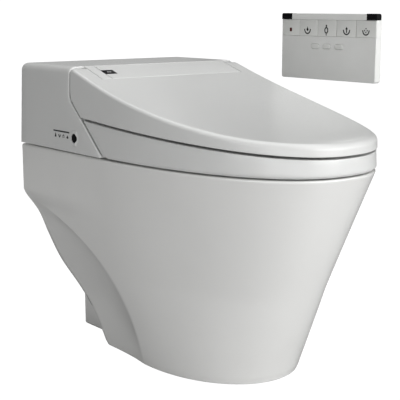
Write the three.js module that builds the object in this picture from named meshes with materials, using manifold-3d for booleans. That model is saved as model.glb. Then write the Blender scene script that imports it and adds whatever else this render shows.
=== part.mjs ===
// Floor-standing shower toilet: a skirted ceramic pan, the bidet housing on its rear deck,
// a heated seat and a lid on one common hinge line, and the remote control on its wall holder.
// Millimetres, +Z up. The nose points along -Y and the wall is behind, at +Y.
// The origin lies on the floor, on the centre line, about halfway along the toilet's depth.
import * as THREE from "three";
import { mergeVertices } from "three/addons/utils/BufferGeometryUtils.js";
import Module from "manifold-3d";

const wasm = await Module();
wasm.setup();

// ---------------------------------------------------------------- driving dimensions
const REAR = 347;                  // the wall plane
const NOSE = -350;                 // front end of the lid
const HALF_WIDTH = 205;            // at the seam between pan and housing
const SHOULDER = 94;               // the plan is straight behind this y and an oval ahead of it
const OVAL_POWER = 2.36;           // 2 is an ellipse, more is squarer
const RIM_Z = 385;                 // top of the ceramic
const SEAM = 3;                    // gap between pan and plastic
const TOP_Z = 543;                 // flat top of the housing
const SIDE_DRAFT = 7 / 158;        // sides lean in by 7 mm from the rim to the top
const WALL = 3;                    // plastic wall
const CERAMIC = 14;                // ceramic wall
const FIT = 0.3;                   // gap between pieces that touch

const HINGE = { y: 161, z: 530, barrel: 9, pin: 3 };
const ARM_INNER = 166.5;           // the lid's arms reach from here out to its sides
const COVER_FRONT = { y: 110, z: 523 };
const PLASTIC_Z = RIM_Z + SEAM;    // underside of the housing and the seat
const WING_FACE = 171.5;           // the housing's upright front face
const SEAT_TOP = { noseZ: 418.5, rearZ: 449.5, rearY: 131 };
const LID_GAP = 4;                 // dark line between lid and seat
const SEAT_HOLE = { side: 106, front: -268, rear: 22 };
const BOWL = { side: 118, front: -270, rear: 48, topZ: RIM_Z, lowZ: 118 };
const NICHE = { side: 72, y: 112, z: 436.2 };
const NOZZLE = { x: 16, radius: 8, length: 160, tilt: 22, tipY: 114, tipZ: 422.4 };
const TRAP = { side: 90, front: 130, rear: 311, top: 165, outletZ: 100, bore: 30 };
const REMOTE = { x: 300, y: 4.75, z: 571.75, length: 258.5, height: 131.5, body: 13, thick: 16 };
const KEY = { low: 20.8, high: 53.2 };
const SIDE_BUTTON = { y: 151.8, z: 414, radius: 8.5, proud: 0.9, length: 10 };
const BEZEL = { y: 149.2, radius: 15, depth: 7 };

// ---------------------------------------------------------------- finishes
const finish = (color, roughness, metalness = 0) => ({ color, roughness, metalness });
const GLAZE = finish(0xe9e8e4, 0.12);
const GLOSS_WHITE = finish(0xe6e6e3, 0.25);
const PALE_PLASTIC = finish(0xdcdcd8, 0.5);
const BLACK_GLOSS = finish(0x0b0b0c, 0.15);
const RUBBER = finish(0x4a4b4c, 0.85);
const STEEL = finish(0xb9bcc0, 0.35, 1);
const BOARD = finish(0x1f5a38, 0.6);
const GREY_PLASTIC = finish(0x6d7073, 0.6);

// ---------------------------------------------------------------- solids
const asSolid = (geometry) => {
  const bare = new THREE.BufferGeometry();
  bare.setAttribute("position", geometry.attributes.position);
  if (geometry.index) bare.setIndex(geometry.index);
  const merged = mergeVertices(bare, 1e-3);
  const vertProperties = new Float32Array(merged.attributes.position.array);
  const triVerts = new Uint32Array(merged.index.array);
  return new wasm.Manifold(new wasm.Mesh({ numProp: 3, vertProperties, triVerts }));
};

const asGeometry = (solid) => {
  const mesh = solid.getMesh();
  const geometry = new THREE.BufferGeometry();
  geometry.setAttribute("position", new THREE.BufferAttribute(mesh.vertProperties, 3));
  geometry.setIndex(new THREE.BufferAttribute(mesh.triVerts, 1));
  geometry.computeVertexNormals();
  return geometry;
};

const together = (...solids) => solids.reduce((a, b) => a.add(b));
const without = (solid, ...tools) => tools.reduce((a, b) => a.subtract(b), solid);

function block(x, y, z) {
  const box = new THREE.BoxGeometry(x[1] - x[0], y[1] - y[0], z[1] - z[0]);
  return asSolid(box.translate((x[0] + x[1]) / 2, (y[0] + y[1]) / 2, (z[0] + z[1]) / 2));
}

function extruded(points, length) {
  const shape = points instanceof THREE.Shape
    ? points : new THREE.Shape(points.map(([u, v]) => new THREE.Vector2(u, v)));
  return new THREE.ExtrudeGeometry(shape, { depth: length, bevelEnabled: false, curveSegments: 3 });
}

// A side view, as points (y, z), carried across from one x to another.
function acrossX(points, from, to) {
  const turn = new THREE.Matrix4().makeBasis(
    new THREE.Vector3(0, 1, 0), new THREE.Vector3(0, 0, 1), new THREE.Vector3(1, 0, 0));
  return asSolid(extruded(points, to - from).applyMatrix4(turn).translate(from, 0, 0));
}

// A front view, as points (x, z), carried back from one y to another.
function acrossY(points, from, to) {
  return asSolid(extruded(points, to - from).rotateX(Math.PI / 2).translate(0, to, 0));
}

function rod(axis, centre, radius, length, sides = 24) {
  const geometry = new THREE.CylinderGeometry(radius, radius, length, sides);
  if (axis === "x") geometry.rotateZ(Math.PI / 2);
  if (axis === "z") geometry.rotateX(Math.PI / 2);
  return asSolid(geometry.translate(...centre));
}

function roundedRect(x, y, radius) {
  const shape = new THREE.Shape();
  shape.moveTo(x[0] + radius, y[0]);
  shape.lineTo(x[1] - radius, y[0]);
  shape.absarc(x[1] - radius, y[0] + radius, radius, -Math.PI / 2, 0);
  shape.absarc(x[1] - radius, y[1] - radius, radius, 0, Math.PI / 2);
  shape.absarc(x[0] + radius, y[1] - radius, radius, Math.PI / 2, Math.PI);
  shape.absarc(x[0] + radius, y[0] + radius, radius, Math.PI, Math.PI * 1.5);
  return shape;
}

// A body through rings of equal point count, lowest ring first, each anticlockwise from above.
function loft(rings) {
  const count = rings[0].length;
  const middle = (ring) => ring.reduce((sum, p) => sum.add(p), new THREE.Vector3()).divideScalar(count);
  const points = [...rings.flat(), middle(rings[0]), middle(rings.at(-1))];
  const last = (rings.length - 1) * count;
  const index = [];
  for (let i = 0; i < count; i++) {
    const next = (i + 1) % count;
    for (let level = 0; level < last; level += count) {
      index.push(level + i, level + next, level + count + next);
      index.push(level + i, level + count + next, level + count + i);
    }
    index.push(last + count, next, i);
    index.push(last + count + 1, last + i, last + next);
  }
  const geometry = new THREE.BufferGeometry().setFromPoints(points);
  return asSolid(geometry.setIndex(index));
}

// ---------------------------------------------------------------- shared outlines
const OVAL_STEPS = 12;
const atHeight = (points, z) => points.map(([x, y]) => new THREE.Vector3(x, y, z));

// Half of an oval plan, from the left shoulder round the nose to the right shoulder.
function ovalFront(side, nose, shoulder, power) {
  return Array.from({ length: 2 * OVAL_STEPS + 1 }, (_, i) => {
    const angle = (Math.PI * i) / (2 * OVAL_STEPS);
    const [c, s] = [Math.cos(angle), Math.sin(angle)];
    const x = -side * Math.sign(c) * Math.abs(c) ** (2 / power);
    return [x, shoulder - (shoulder - nose) * Math.max(0, s) ** (2 / power)];
  });
}

// The plan of the seat, lid and rim, moved in by inset.
function plan(inset) {
  const side = HALF_WIDTH - inset;
  const front = ovalFront(side, NOSE + inset, SHOULDER, OVAL_POWER);
  return [[-side, REAR + 5], ...front, [side, REAR + 5]];
}

const draft = (z) => (z - RIM_Z) * SIDE_DRAFT;
const sideFace = (z) => -HALF_WIDTH + draft(z);

// A span of x on one side of the centre line: s is -1 on the left and 1 on the right.
const mirroredSpan = (s, x) => x.map((v) => s * v).sort((a, b) => a - b);

// Everything inside the drafted plan between two heights.
function planBody(inset, low, high) {
  return loft([atHeight(plan(inset + draft(low)), low), atHeight(plan(inset + draft(high)), high)]);
}

// The housing's front face seen from the side: a slant, a rounded knee and an upright.
const WING_LINE = [[-39.6, 300], [131, 451.5], [160, 474], [169, 485], [WING_FACE, 498], [WING_FACE, TOP_Z + 40]];

// The same line moved forward by a clear gap, or back where the gap is negative.
function wingLine(gap) {
  const normals = WING_LINE.slice(1).map(([y, z], i) =>
    new THREE.Vector2(WING_LINE[i][1] - z, y - WING_LINE[i][0]).normalize());
  return WING_LINE.map(([y, z], i) => {
    const [a, b] = [normals[Math.max(0, i - 1)], normals[Math.min(i, normals.length - 1)]];
    const mitre = a.clone().add(b).divideScalar(1 + a.dot(b));
    return [y + gap * mitre.x, z + gap * mitre.y];
  });
}

const WIDE = HALF_WIDTH + 10;
const AHEAD = NOSE - 10;
const aheadOfWing = (gap) => {
  const line = wingLine(gap);
  return acrossX([[AHEAD, line[0][1]], ...line, [AHEAD, line.at(-1)[1]]], -WIDE, WIDE);
};
const behindWing = (inset, rear) => {
  const line = wingLine(-inset);
  return acrossX([[rear, line[0][1]], [rear, line.at(-1)[1]], ...line.reverse()], -WIDE, WIDE);
};

const seatTopZ = (y) => {
  const rise = (SEAT_TOP.rearZ - SEAT_TOP.noseZ) / (SEAT_TOP.rearY - NOSE);
  return SEAT_TOP.noseZ + (y - NOSE) * rise;
};

// The layer between two surfaces parallel to the seat's top, given as heights above it.
function seatLayer(low, high) {
  const at = (y, up) => [y, seatTopZ(y) + up];
  return acrossX([at(AHEAD, low), at(REAR, low), at(REAR, high), at(AHEAD, high)], -WIDE, WIDE);
}

// The lid's top line seen from the side, from the hinge down to the nose.
const LID_TOP = new THREE.SplineCurve([
  new THREE.Vector2(COVER_FRONT.y, COVER_FRONT.z), new THREE.Vector2(51, 505.7),
  new THREE.Vector2(-57, 479.8), new THREE.Vector2(-146, 462.6),
  new THREE.Vector2(-250, 448), new THREE.Vector2(NOSE - 3, 441)]);

function oval(side, front, rear, count = 28) {
  const [middle, half] = [(front + rear) / 2, (rear - front) / 2];
  return Array.from({ length: count }, (_, i) => {
    const angle = (2 * Math.PI * i) / count;
    const [c, s] = [Math.cos(angle), Math.sin(angle)];
    const squarer = (v) => Math.sign(v) * Math.abs(v) ** 0.92;
    return [side * squarer(c), middle + half * squarer(s)];
  });
}

// ---------------------------------------------------------------- ceramic pan
const FOOT = { side: 140.6, nose: -185.5, power: 2.08 };
const CREASE_TOP = 277;            // the rear of the skirt is set back below this height

const REAR_FULL = 293;             // at the wall the pan is as wide as the housing down to this z
const RIM = { side: HALF_WIDTH - 1.5, nose: NOSE + 3 };
const panSide = (z) => FOOT.side + (RIM.side - FOOT.side) * (z / RIM_Z);
const panNose = (z) => FOOT.nose + (RIM.nose - FOOT.nose) * (z / RIM_Z) ** 1.05;
const REAR_SIDE = new THREE.SplineCurve([
  new THREE.Vector2(0, 131), new THREE.Vector2(92, 131), new THREE.Vector2(118, 135.5),
  new THREE.Vector2(150, 143), new THREE.Vector2(200, 157), new THREE.Vector2(240, 171),
  new THREE.Vector2(258, 181), new THREE.Vector2(REAR_FULL, RIM.side), new THREE.Vector2(RIM_Z, RIM.side)]);
const creaseY = (z) => {
  const u = z / CREASE_TOP;
  return 24 + 177 * u ** 2 + 147 * u ** 5;
};
const REAR_EDGE = new THREE.SplineCurve([
  new THREE.Vector2(0, 164), new THREE.Vector2(50, 206), new THREE.Vector2(92, 252),
  new THREE.Vector2(145, 312), new THREE.Vector2(200, 337), new THREE.Vector2(CREASE_TOP, REAR - 2)]);

// The height of a curve whose points are (z, value), found between its nearest points.
function valueAt(curve, z) {
  const points = curve.getPoints(80);
  const after = Math.max(1, points.findIndex((p) => p.x >= z));
  const [a, b] = [points[after - 1], points[after]];
  return a.y + ((b.y - a.y) * (z - a.x)) / (b.x - a.x);
}

const rearEdgeY = (z) => (z < CREASE_TOP ? valueAt(REAR_EDGE, z) : REAR - 2);
const rearSide = (z) => (z < REAR_FULL ? valueAt(REAR_SIDE, z) : RIM.side);

// Towards the wall the pan widens above the crease and stands back below it.
function panRing(z, inset, rear) {
  const edge = rearEdgeY(z);
  const start = Math.min(creaseY(z), edge - 5);
  const wider = Math.max(0, rearSide(z) - panSide(z));
  const narrower = Math.max(0, panSide(z) - rearSide(z));
  const right = [0, 0.08, 0.2, 0.45, 0.72, 1].map((t) => {
    const y = start + (edge - start) * t;
    const widened = (wider * (y - SHOULDER)) / (REAR - SHOULDER);
    return [panSide(z) - inset + widened - narrower * (1 - (1 - t) ** 2.6), y];
  });
  right.push([right.at(-1)[0], rear ?? edge]);
  const left = right.map(([x, y]) => [-x, y]).reverse();
  const power = FOOT.power + (OVAL_POWER - FOOT.power) * (z / RIM_Z);
  const front = ovalFront(panSide(z) - inset, panNose(z) + inset, Math.min(SHOULDER, creaseY(z) - 6), power);
  return atHeight([...left, ...front, ...right], z);
}

const PAN_LEVELS = [0, 25, 55, 85, 115, 145, 175, 205, 235, 258, CREASE_TOP, REAR_FULL, 340];

function bowlRing(z, grow) {
  const t = Math.min(1, Math.max(0, (z - BOWL.lowZ) / (BOWL.topZ - 25 - BOWL.lowZ)));
  const open = 0.24 + 0.76 * Math.sin((t * Math.PI) / 2) ** 0.85;
  const middle = (BOWL.front + BOWL.rear) / 2 + 70 * (1 - t) ** 1.5;
  const half = ((BOWL.rear - BOWL.front) / 2) * open + grow;
  return atHeight(oval(BOWL.side * open + grow, middle - half, middle + half), z);
}

function trapTube(radius, from) {
  const route = new THREE.CatmullRomCurve3([
    [0, from, 132], [0, 40, 150], [0, 100, 196], [0, 150, 214], [0, 196, 190], [0, 222, 140],
    [0, 262, TRAP.outletZ], [0, TRAP.rear + (radius < 35 ? 2 : 0), TRAP.outletZ],
  ].map((p) => new THREE.Vector3(...p)));
  const ring = new THREE.Shape().absarc(0, 0, radius, 0, 2 * Math.PI);
  return asSolid(new THREE.ExtrudeGeometry(ring, { extrudePath: route, steps: 22, curveSegments: 7 }));
}

function ceramicPan() {
  const levels = [...PAN_LEVELS, RIM_Z];
  const outer = loft(levels.map((z) => panRing(z, 0)));
  const inner = loft([-1, ...PAN_LEVELS.slice(1), RIM_Z - CERAMIC].map(
    (z) => panRing(Math.max(0, z), CERAMIC, REAR + 30).map((p) => p.setZ(z))));
  const trapBlock = block([-TRAP.side, TRAP.side], [TRAP.front, TRAP.rear], [0, TRAP.top]);
  const trapHollow = block([CERAMIC - TRAP.side, TRAP.side - CERAMIC],
    [TRAP.front - 20, TRAP.rear - CERAMIC], [-1, TRAP.top - CERAMIC]);
  const bowlLevels = [BOWL.lowZ, 140, 165, 200, 240, 285, 330, BOWL.topZ - 25];
  const bowlOuter = loft([...bowlLevels, RIM_Z - 2].map((z) =>
    bowlRing(z, CERAMIC).map((p) => (z === BOWL.lowZ ? p.setZ(z - CERAMIC) : p))));
  const bowlInner = loft([...bowlLevels, RIM_Z + 5].map((z) => bowlRing(z, 0)));
  const shell = together(without(outer, inner), without(trapBlock, trapHollow));
  const wet = together(bowlOuter, trapTube(TRAP.bore + 10, 0));
  return without(together(shell, wet), bowlInner, trapTube(TRAP.bore, -14), boltHole(-1, 1.5, 60), boltHole(1, 1.5, 60));
}

// ---------------------------------------------------------------- under the pan and on its deck
const BOLT = { x: 77.5, y: 210, radius: 5, head: 6, length: 45 };
const NUT = { radius: 14, thick: 10 };

const BRACKET = { half: 116, y: [-25, 25], tab: 35, thick: 3 };

function floorBracket() {
  const plate = block([-BRACKET.half, BRACKET.half], BRACKET.y, [0, BRACKET.thick]);
  const tabs = [-1, 1].map((s) =>
    block(mirroredSpan(s, [BRACKET.half - BRACKET.thick, BRACKET.half]), BRACKET.y, [0, BRACKET.tab]));
  return together(plate, ...tabs);
}

const CONNECTOR = { flange: 12, step: 5, length: 33 };

function outletConnector() {
  const [inner, outer] = [TRAP.bore + 4, TRAP.bore + 14];
  const { flange, step, length } = CONNECTOR;
  const profile = [[inner, 0], [outer, 0], [outer, flange], [outer - step, flange + 2], [outer - step, length],
    [inner, length], [inner, 0]];
  const ring = new THREE.LatheGeometry(profile.map((p) => new THREE.Vector2(...p)), 28);
  return asSolid(ring.translate(0, TRAP.rear + FIT, 0).translate(0, 0, TRAP.outletZ));
}

const VALVE = { x: 105, y: 275, z: 292, radius: 30, height: 110 };
const VALVE_NECK = { x: 66, z: 300, radius: 14, length: 30 };

function flushValve() {
  const body = rod("z", [VALVE.x, VALVE.y, VALVE.z], VALVE.radius, VALVE.height, 20);
  const neck = rod("x", [VALVE_NECK.x, VALVE.y, VALVE_NECK.z], VALVE_NECK.radius, VALVE_NECK.length, 16);
  return together(body, neck);
}

const PLATE = { half: 115, y: [140, 300] };
const boltHole = (s, clearance, length) => rod("z", [s * BOLT.x, BOLT.y, RIM_Z], BOLT.radius + clearance, length);

function mountingPlate() {
  const plate = block([-PLATE.half, PLATE.half], PLATE.y, [RIM_Z + FIT, RIM_Z + SEAM - FIT]);
  return without(plate, boltHole(-1, 0.4, 20), boltHole(1, 0.4, 20));
}

function mountingBolt(s) {
  const under = TRAY_TOP + FIT;
  const head = rod("z", [s * BOLT.x, BOLT.y, under + BOLT.head / 2], BOLT.radius * 1.8, BOLT.head, 6);
  const shank = rod("z", [s * BOLT.x, BOLT.y, under + 1 - BOLT.length / 2], BOLT.radius, BOLT.length, 16);
  return together(head, shank);
}

function mountingNut(s) {
  const top = RIM_Z - CERAMIC - FIT;
  const nut = rod("z", [s * BOLT.x, BOLT.y, top - NUT.thick / 2], NUT.radius, NUT.thick, 6);
  return without(nut, rod("z", [s * BOLT.x, BOLT.y, top], BOLT.radius + FIT, 40, 16));
}

// ---------------------------------------------------------------- housing and its covers
function housingSection(inset) {
  const [low, high] = [inset ? PLASTIC_Z - 1 : PLASTIC_Z, TOP_Z - inset];
  const corner = 14 - inset / 2;
  const half = (z) => HALF_WIDTH - draft(z) - inset;
  const shape = new THREE.Shape();
  shape.moveTo(-half(low), low);
  shape.lineTo(half(low), low);
  shape.lineTo(half(high), high - corner);
  shape.absarc(half(high) - corner, high - corner, corner, 0, Math.PI / 2);
  shape.absarc(corner - half(high), high - corner, corner, Math.PI / 2, Math.PI);
  return shape;
}

function rearHousing() {
  const outer = acrossY(housingSection(0), 0, REAR + 10).intersect(behindWing(0, REAR));
  const inner = acrossY(housingSection(WALL), 0, REAR + 10).intersect(behindWing(WALL, REAR - WALL));
  const nicheAt = (grow) => block([-NICHE.side - grow, NICHE.side + grow],
    [0, NICHE.y + grow], [PLASTIC_Z - 10, NICHE.z + grow]);
  const nozzleHoles = [-1, 1].map((s) => nozzleRod(s * NOZZLE.x, NOZZLE.radius + 1.2, 200));
  const ductHole = block([DUCT.x[0] + 1, DUCT.x[1] - 1], [NICHE.y - 5, NICHE.y + 8], DUCT.mouth);
  const sideHole = rod("x", [-HALF_WIDTH, BEZEL.y, SIDE_BUTTON.z], BEZEL.radius + FIT, 30);
  const inletHole = rod("y", [INLET.x, REAR, INLET.z], INLET.radius + FIT, 20);
  const glandHole = rod("y", [GLAND.x, REAR, GLAND.z], GLAND.radius + FIT, 20);
  const shell = without(outer, nicheAt(0), without(inner, nicheAt(WALL)));
  return without(shell, ...nozzleHoles, ductHole, sideHole, inletHole, glandHole);
}

const COVER = { skin: 2.5, low: 468 };
const COVER_TOP_SLOPE = (TOP_Z - COVER_FRONT.z) / (WING_FACE - COVER_FRONT.y);
const coverTopZ = (y) => TOP_Z - FIT - (WING_FACE - y) * COVER_TOP_SLOPE;

// A length of the hollow hinge cover, open to the housing behind it, with one end wall.
function coverBody(x, endWall) {
  const filled = (inset) => acrossX([[COVER_FRONT.y + inset, COVER.low + inset], [REAR, COVER.low + inset],
    [REAR, coverTopZ(REAR) - inset], [COVER_FRONT.y + inset, coverTopZ(COVER_FRONT.y + inset) - inset]],
    x[0] + (inset && endWall < 0 ? inset : -inset), x[1] - (inset && endWall > 0 ? inset : -inset));
  const pinHole = rod("x", [endWall * ARM_INNER, HINGE.y, HINGE.z], HINGE.pin + FIT, 20, 16);
  return without(filled(0).intersect(aheadOfWing(FIT)), filled(COVER.skin), pinHole);
}

const DISPLAY = { x: [-142.4, -117.6], y: [132, 150.5], thick: 1.5 };
const GROOVE_X = -143.2;

function centerCover() {
  const floor = (y) => coverTopZ(y) - DISPLAY.thick - FIT;
  const [front, rear] = [DISPLAY.y[0] - FIT, DISPLAY.y[1] + FIT];
  const window = acrossX([[front, floor(front)], [rear, floor(rear)], [rear, TOP_Z], [front, TOP_Z]],
    DISPLAY.x[0] - FIT, DISPLAY.x[1] + FIT);
  return without(coverBody([GROOVE_X + 0.5, ARM_INNER - 1.2], 1), window);
}

function displayWindow() {
  const [front, rear] = DISPLAY.y;
  const at = (y, drop) => [y, coverTopZ(y) - drop];
  return acrossX([at(front, DISPLAY.thick), at(rear, DISPLAY.thick), at(rear, 0), at(front, 0)], ...DISPLAY.x);
}

const hingeEndCap = () => coverBody([1.2 - ARM_INNER, GROOVE_X - 0.3], -1);

const DAMPER = { x: [95, 140], front: 146, rear: WING_FACE - 1.5, low: 500 };

function hingeDamper(s) {
  const { front, rear, low } = DAMPER;
  const under = (y) => coverTopZ(y) - COVER.skin - 0.8;
  const body = acrossX([[front, low], [rear, low], [rear, under(rear)], [front, under(front)]],
    ...mirroredSpan(s, DAMPER.x));
  return without(body, rod("x", [s * 120, HINGE.y, HINGE.z], HINGE.pin + FIT, 80, 16));
}

const PIN = { middle: 153, length: 74 };
const hingePin = (s) => rod("x", [s * PIN.middle, HINGE.y, HINGE.z], HINGE.pin, PIN.length, 16);

const TRAY_TOP = PLASTIC_Z + FIT + 2.5;

function baseTray() {
  const [side, rear] = [HALF_WIDTH - WALL - 1, REAR - WALL - 0.5];
  const plate = block([-side, side], [0, rear], [PLASTIC_Z + FIT, TRAY_TOP]);
  const niche = block([-NICHE.side - WALL - 0.5, NICHE.side + WALL + 0.5], [0, NICHE.y + WALL + 0.5],
    [PLASTIC_Z - 1, TRAY_TOP + 1]);
  return without(plate.intersect(behindWing(WALL + 0.5, REAR)), niche, boltHole(-1, 0.4, 40), boltHole(1, 0.4, 40));
}

// ---------------------------------------------------------------- side control
function sideBezel() {
  const front = sideFace(SIDE_BUTTON.z) + 0.1;
  const ring = rod("x", [front + BEZEL.depth / 2, BEZEL.y, SIDE_BUTTON.z], BEZEL.radius, BEZEL.depth, 28);
  return without(ring, rod("x", [front, SIDE_BUTTON.y, SIDE_BUTTON.z], SIDE_BUTTON.radius + FIT, 40, 28));
}

function sideButton() {
  const front = sideFace(SIDE_BUTTON.z) + SIDE_BUTTON.proud;
  return rod("x", [front + SIDE_BUTTON.length / 2, SIDE_BUTTON.y, SIDE_BUTTON.z],
    SIDE_BUTTON.radius, SIDE_BUTTON.length, 28);
}

// ---------------------------------------------------------------- wash nozzles
const TILT = THREE.MathUtils.degToRad(NOZZLE.tilt);

// A round bar along the nozzle line, from a little ahead of the retracted tip.
function nozzleRod(x, radius, length) {
  const bar = new THREE.CylinderGeometry(radius, radius, length, 20);
  return asSolid(bar.rotateX(TILT).translate(x, NOZZLE.tipY, NOZZLE.tipZ));
}

function nozzleGroup(parts) {
  const group = new THREE.Group();
  group.position.set(0, NOZZLE.tipY, NOZZLE.tipZ);
  group.rotation.x = TILT;
  parts.forEach((part) => group.add(part));
  return group;
}

// In the tilted group +Y runs back along the nozzle and the retracted tip is at y = 0.
const nozzle = (x) => rod("y", [x, NOZZLE.length / 2, 0], NOZZLE.radius, NOZZLE.length, 20);

const GUIDE = { side: 36, y: [15, 130], half: 12 };
const MOTOR = { side: 18, y: [84, 128], z: [12.4, 42], shaft: [24, 106, 24] };

function nozzleGuide() {
  const cradle = block([-GUIDE.side, GUIDE.side], GUIDE.y, [-GUIDE.half, GUIDE.half]);
  const bores = [-1, 1].map((s) => rod("y", [s * NOZZLE.x, 80, 0], NOZZLE.radius + 0.6, 200, 20));
  return without(cradle, ...bores);
}

const nozzleMotor = () => together(
  block([-MOTOR.side, MOTOR.side], MOTOR.y, MOTOR.z), rod("x", MOTOR.shaft, 9, 14, 16));

// ---------------------------------------------------------------- water, air and electrics
const DUCT = { x: [-64, -44], mouth: [398, 424] };
const FAN = { x: [-68, -40], y: 215, z: 436, radius: 40, rotor: 31 };
const INLET = { x: -163, z: 425, radius: 10, bore: 6, length: 14 };
const GLAND = { x: 160, z: 425, radius: 9, bore: 4, length: 11 };

function fanHousing() {
  const middle = (FAN.x[0] + FAN.x[1]) / 2;
  const scroll = rod("x", [middle, FAN.y, FAN.z], FAN.radius, FAN.x[1] - FAN.x[0], 28);
  const spout = block([FAN.x[0], FAN.x[1]], [FAN.y - 48, FAN.y], [FAN.z - FAN.radius, FAN.z - 12]);
  const bore = rod("x", [middle + 2, FAN.y, FAN.z], FAN.rotor + 3, FAN.x[1] - FAN.x[0], 28);
  const throat = block([FAN.x[0] + 3, FAN.x[1] - 3], [FAN.y - 50, FAN.y - 2], [FAN.z - FAN.radius + 3, FAN.z - 15]);
  return without(together(scroll, spout), bore, throat);
}

function fanRotor() {
  const [hub, blades, length] = [8, 11, 20];
  const middle = FAN.x[0] + 4 + length / 2;
  const disc = rod("x", [middle + 1 - length / 2, FAN.y, FAN.z], FAN.rotor, 2, 28);
  const boss = rod("x", [middle, FAN.y, FAN.z], hub, length, 16);
  const vanes = Array.from({ length: blades }, (_, i) => {
    const angle = (2 * Math.PI * i) / blades;
    const vane = new THREE.BoxGeometry(length, 2, 14).translate(0, 3, FAN.rotor - 7.5);
    return asSolid(vane.rotateX(angle).translate(middle, FAN.y, FAN.z));
  });
  return together(disc, boss, ...vanes);
}

function dryerDuct() {
  const z = [DUCT.mouth[0] - 1.5, DUCT.mouth[1] - 1];
  const y = [NICHE.y + WALL + FIT, FAN.y - 48 - FIT];
  const tube = block([DUCT.x[0] - 1, DUCT.x[1] + 1], y, z);
  return without(tube, block([DUCT.x[0] + 1, DUCT.x[1] - 1], [y[0] - 5, y[1] + 5], [z[0] + 2, z[1] - 2]));
}

function roundedTank({ x, y, z, radius }) {
  const body = extruded(roundedRect(x, y, radius), z[1] - z[0]);
  return asSolid(body.translate(0, 0, z[0]));
}

const PUMP = { centre: [-108, 222, 416], radius: 20, length: 84, foot: { x: [-130, -86], y: [190, 254], z: [394, 404] } };
const INLET_VALVE = { x: [-186, -144], y: [286, 332], z: [396, 446], coil: { centre: [-165, 309, 458], radius: 14, length: 30 } };
const TANK = { x: [62, 190], y: [225, 333], z: [394, 490], radius: 10 };
const HEATER = { x: [112, 190], y: [136, 214], z: [394, 438], radius: 8 };
const FILTER = { x: [-186, -142], y: [184, 262], z: [394, 440], radius: 6 };
const CONTROL_BOARD = { x: [-186, -50], y: [190, 336], z: [500, 501.8] };
const POWER_BOARD = { x: [60, 186], y: [190, 336], z: [502, 503.8] };

const boxOf = ({ x, y, z }) => block(x, y, z);
const pump = () => together(rod("y", PUMP.centre, PUMP.radius, PUMP.length, 20), boxOf(PUMP.foot));

function inletValve() {
  const { centre, radius, length } = INLET_VALVE.coil;
  return together(boxOf(INLET_VALVE), rod("z", centre, radius, length, 16));
}

function inletConnector() {
  const stub = rod("y", [INLET.x, REAR - FIT - INLET.length / 2, INLET.z], INLET.radius, INLET.length, 20);
  return without(stub, rod("y", [INLET.x, REAR - 2, INLET.z], INLET.bore, 14, 16));
}

function cordGland() {
  const stub = rod("y", [GLAND.x, REAR - FIT - GLAND.length / 2, GLAND.z], GLAND.radius, GLAND.length, 20);
  return without(stub, rod("y", [GLAND.x, REAR - 2, GLAND.z], GLAND.bore, 14, 16));
}

// ---------------------------------------------------------------- seat
const SEAT_INSET = 2;
const seatHole = (grow, low, high) => loft([
  atHeight(oval(SEAT_HOLE.side + grow, SEAT_HOLE.front - grow, SEAT_HOLE.rear + grow), low),
  atHeight(oval(SEAT_HOLE.side + grow + 3, SEAT_HOLE.front - grow - 3, SEAT_HOLE.rear + grow + 3), high)]);

// Room under the seat's rear bridge for the nozzles.
function seatTunnel(grow) {
  const line = (y) => NOZZLE.tipZ + (y - NOZZLE.tipY) * Math.tan(TILT) + 13 + grow;
  return acrossX([[-30, 370], [130, 370], [130, line(104)], [104, line(104)], [-30, line(-30)]],
    -64 - grow, 64 + grow);
}

// The web nears the hinge from behind and below, clear of the wall of the lid's barrel.
const SEAT_ARM = {
  x: [172, 184], barrel: 5.6,
  web: [[92, 442], [114, 442], [157.5, 521.7], [160, 527], [156, 531], [152.8, 526.2]],
};

function seatArm(s) {
  const x = mirroredSpan(s, SEAT_ARM.x);
  const middle = (x[0] + x[1]) / 2;
  const web = acrossX(SEAT_ARM.web, ...x);
  const boss = rod("x", [middle, HINGE.y, HINGE.z], SEAT_ARM.barrel, x[1] - x[0], 20);
  return without(together(web, boss), rod("x", [middle, HINGE.y, HINGE.z], HINGE.pin + FIT, 40, 16));
}

function seatTop() {
  const low = PLASTIC_Z + 2;
  const outer = planBody(SEAT_INSET, low, 470).intersect(seatLayer(-100, 0)).intersect(aheadOfWing(SEAM));
  const hollow = planBody(SEAT_INSET + WALL, low - 5, 470)
    .intersect(seatLayer(-100, -WALL - 1)).intersect(aheadOfWing(SEAM + WALL));
  const body = without(outer, seatHole(0, 370, 470));
  const cavity = without(hollow, seatHole(WALL, 370, 470), seatTunnel(WALL));
  return together(without(body, cavity, seatTunnel(0)), seatArm(-1), seatArm(1));
}

function seatBottom() {
  const edge = WALL + 0.6;
  const plate = planBody(SEAT_INSET + edge, PLASTIC_Z, PLASTIC_Z + 4).intersect(aheadOfWing(SEAM + edge));
  return without(plate, seatHole(edge, 370, 470), seatTunnel(edge));
}

function seatHeater() {
  const rear = 90;
  const ring = planBody(SEAT_INSET + WALL + 14, 395, 470).intersect(seatLayer(-6.2, -5));
  const behind = block([-WIDE, WIDE], [rear, REAR + 10], [380, 480]);
  const bridge = block([-60, 60], [SEAT_HOLE.rear - 5, rear + 5], [380, 480]);
  return without(ring, behind, bridge, seatHole(WALL + 10, 370, 470));
}

const SEAT_PAD = { half: [8, 16], corner: 6, front: [96, -215], rear: [160, 20] };

function seatBumper(s, [x, y]) {
  const [wide, long] = SEAT_PAD.half;
  const outline = roundedRect([s * x - wide, s * x + wide], [y - long, y + long], SEAT_PAD.corner);
  const pad = extruded(outline, SEAM - 2 * FIT);
  return asSolid(pad.translate(0, 0, RIM_Z + FIT));
}

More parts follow.
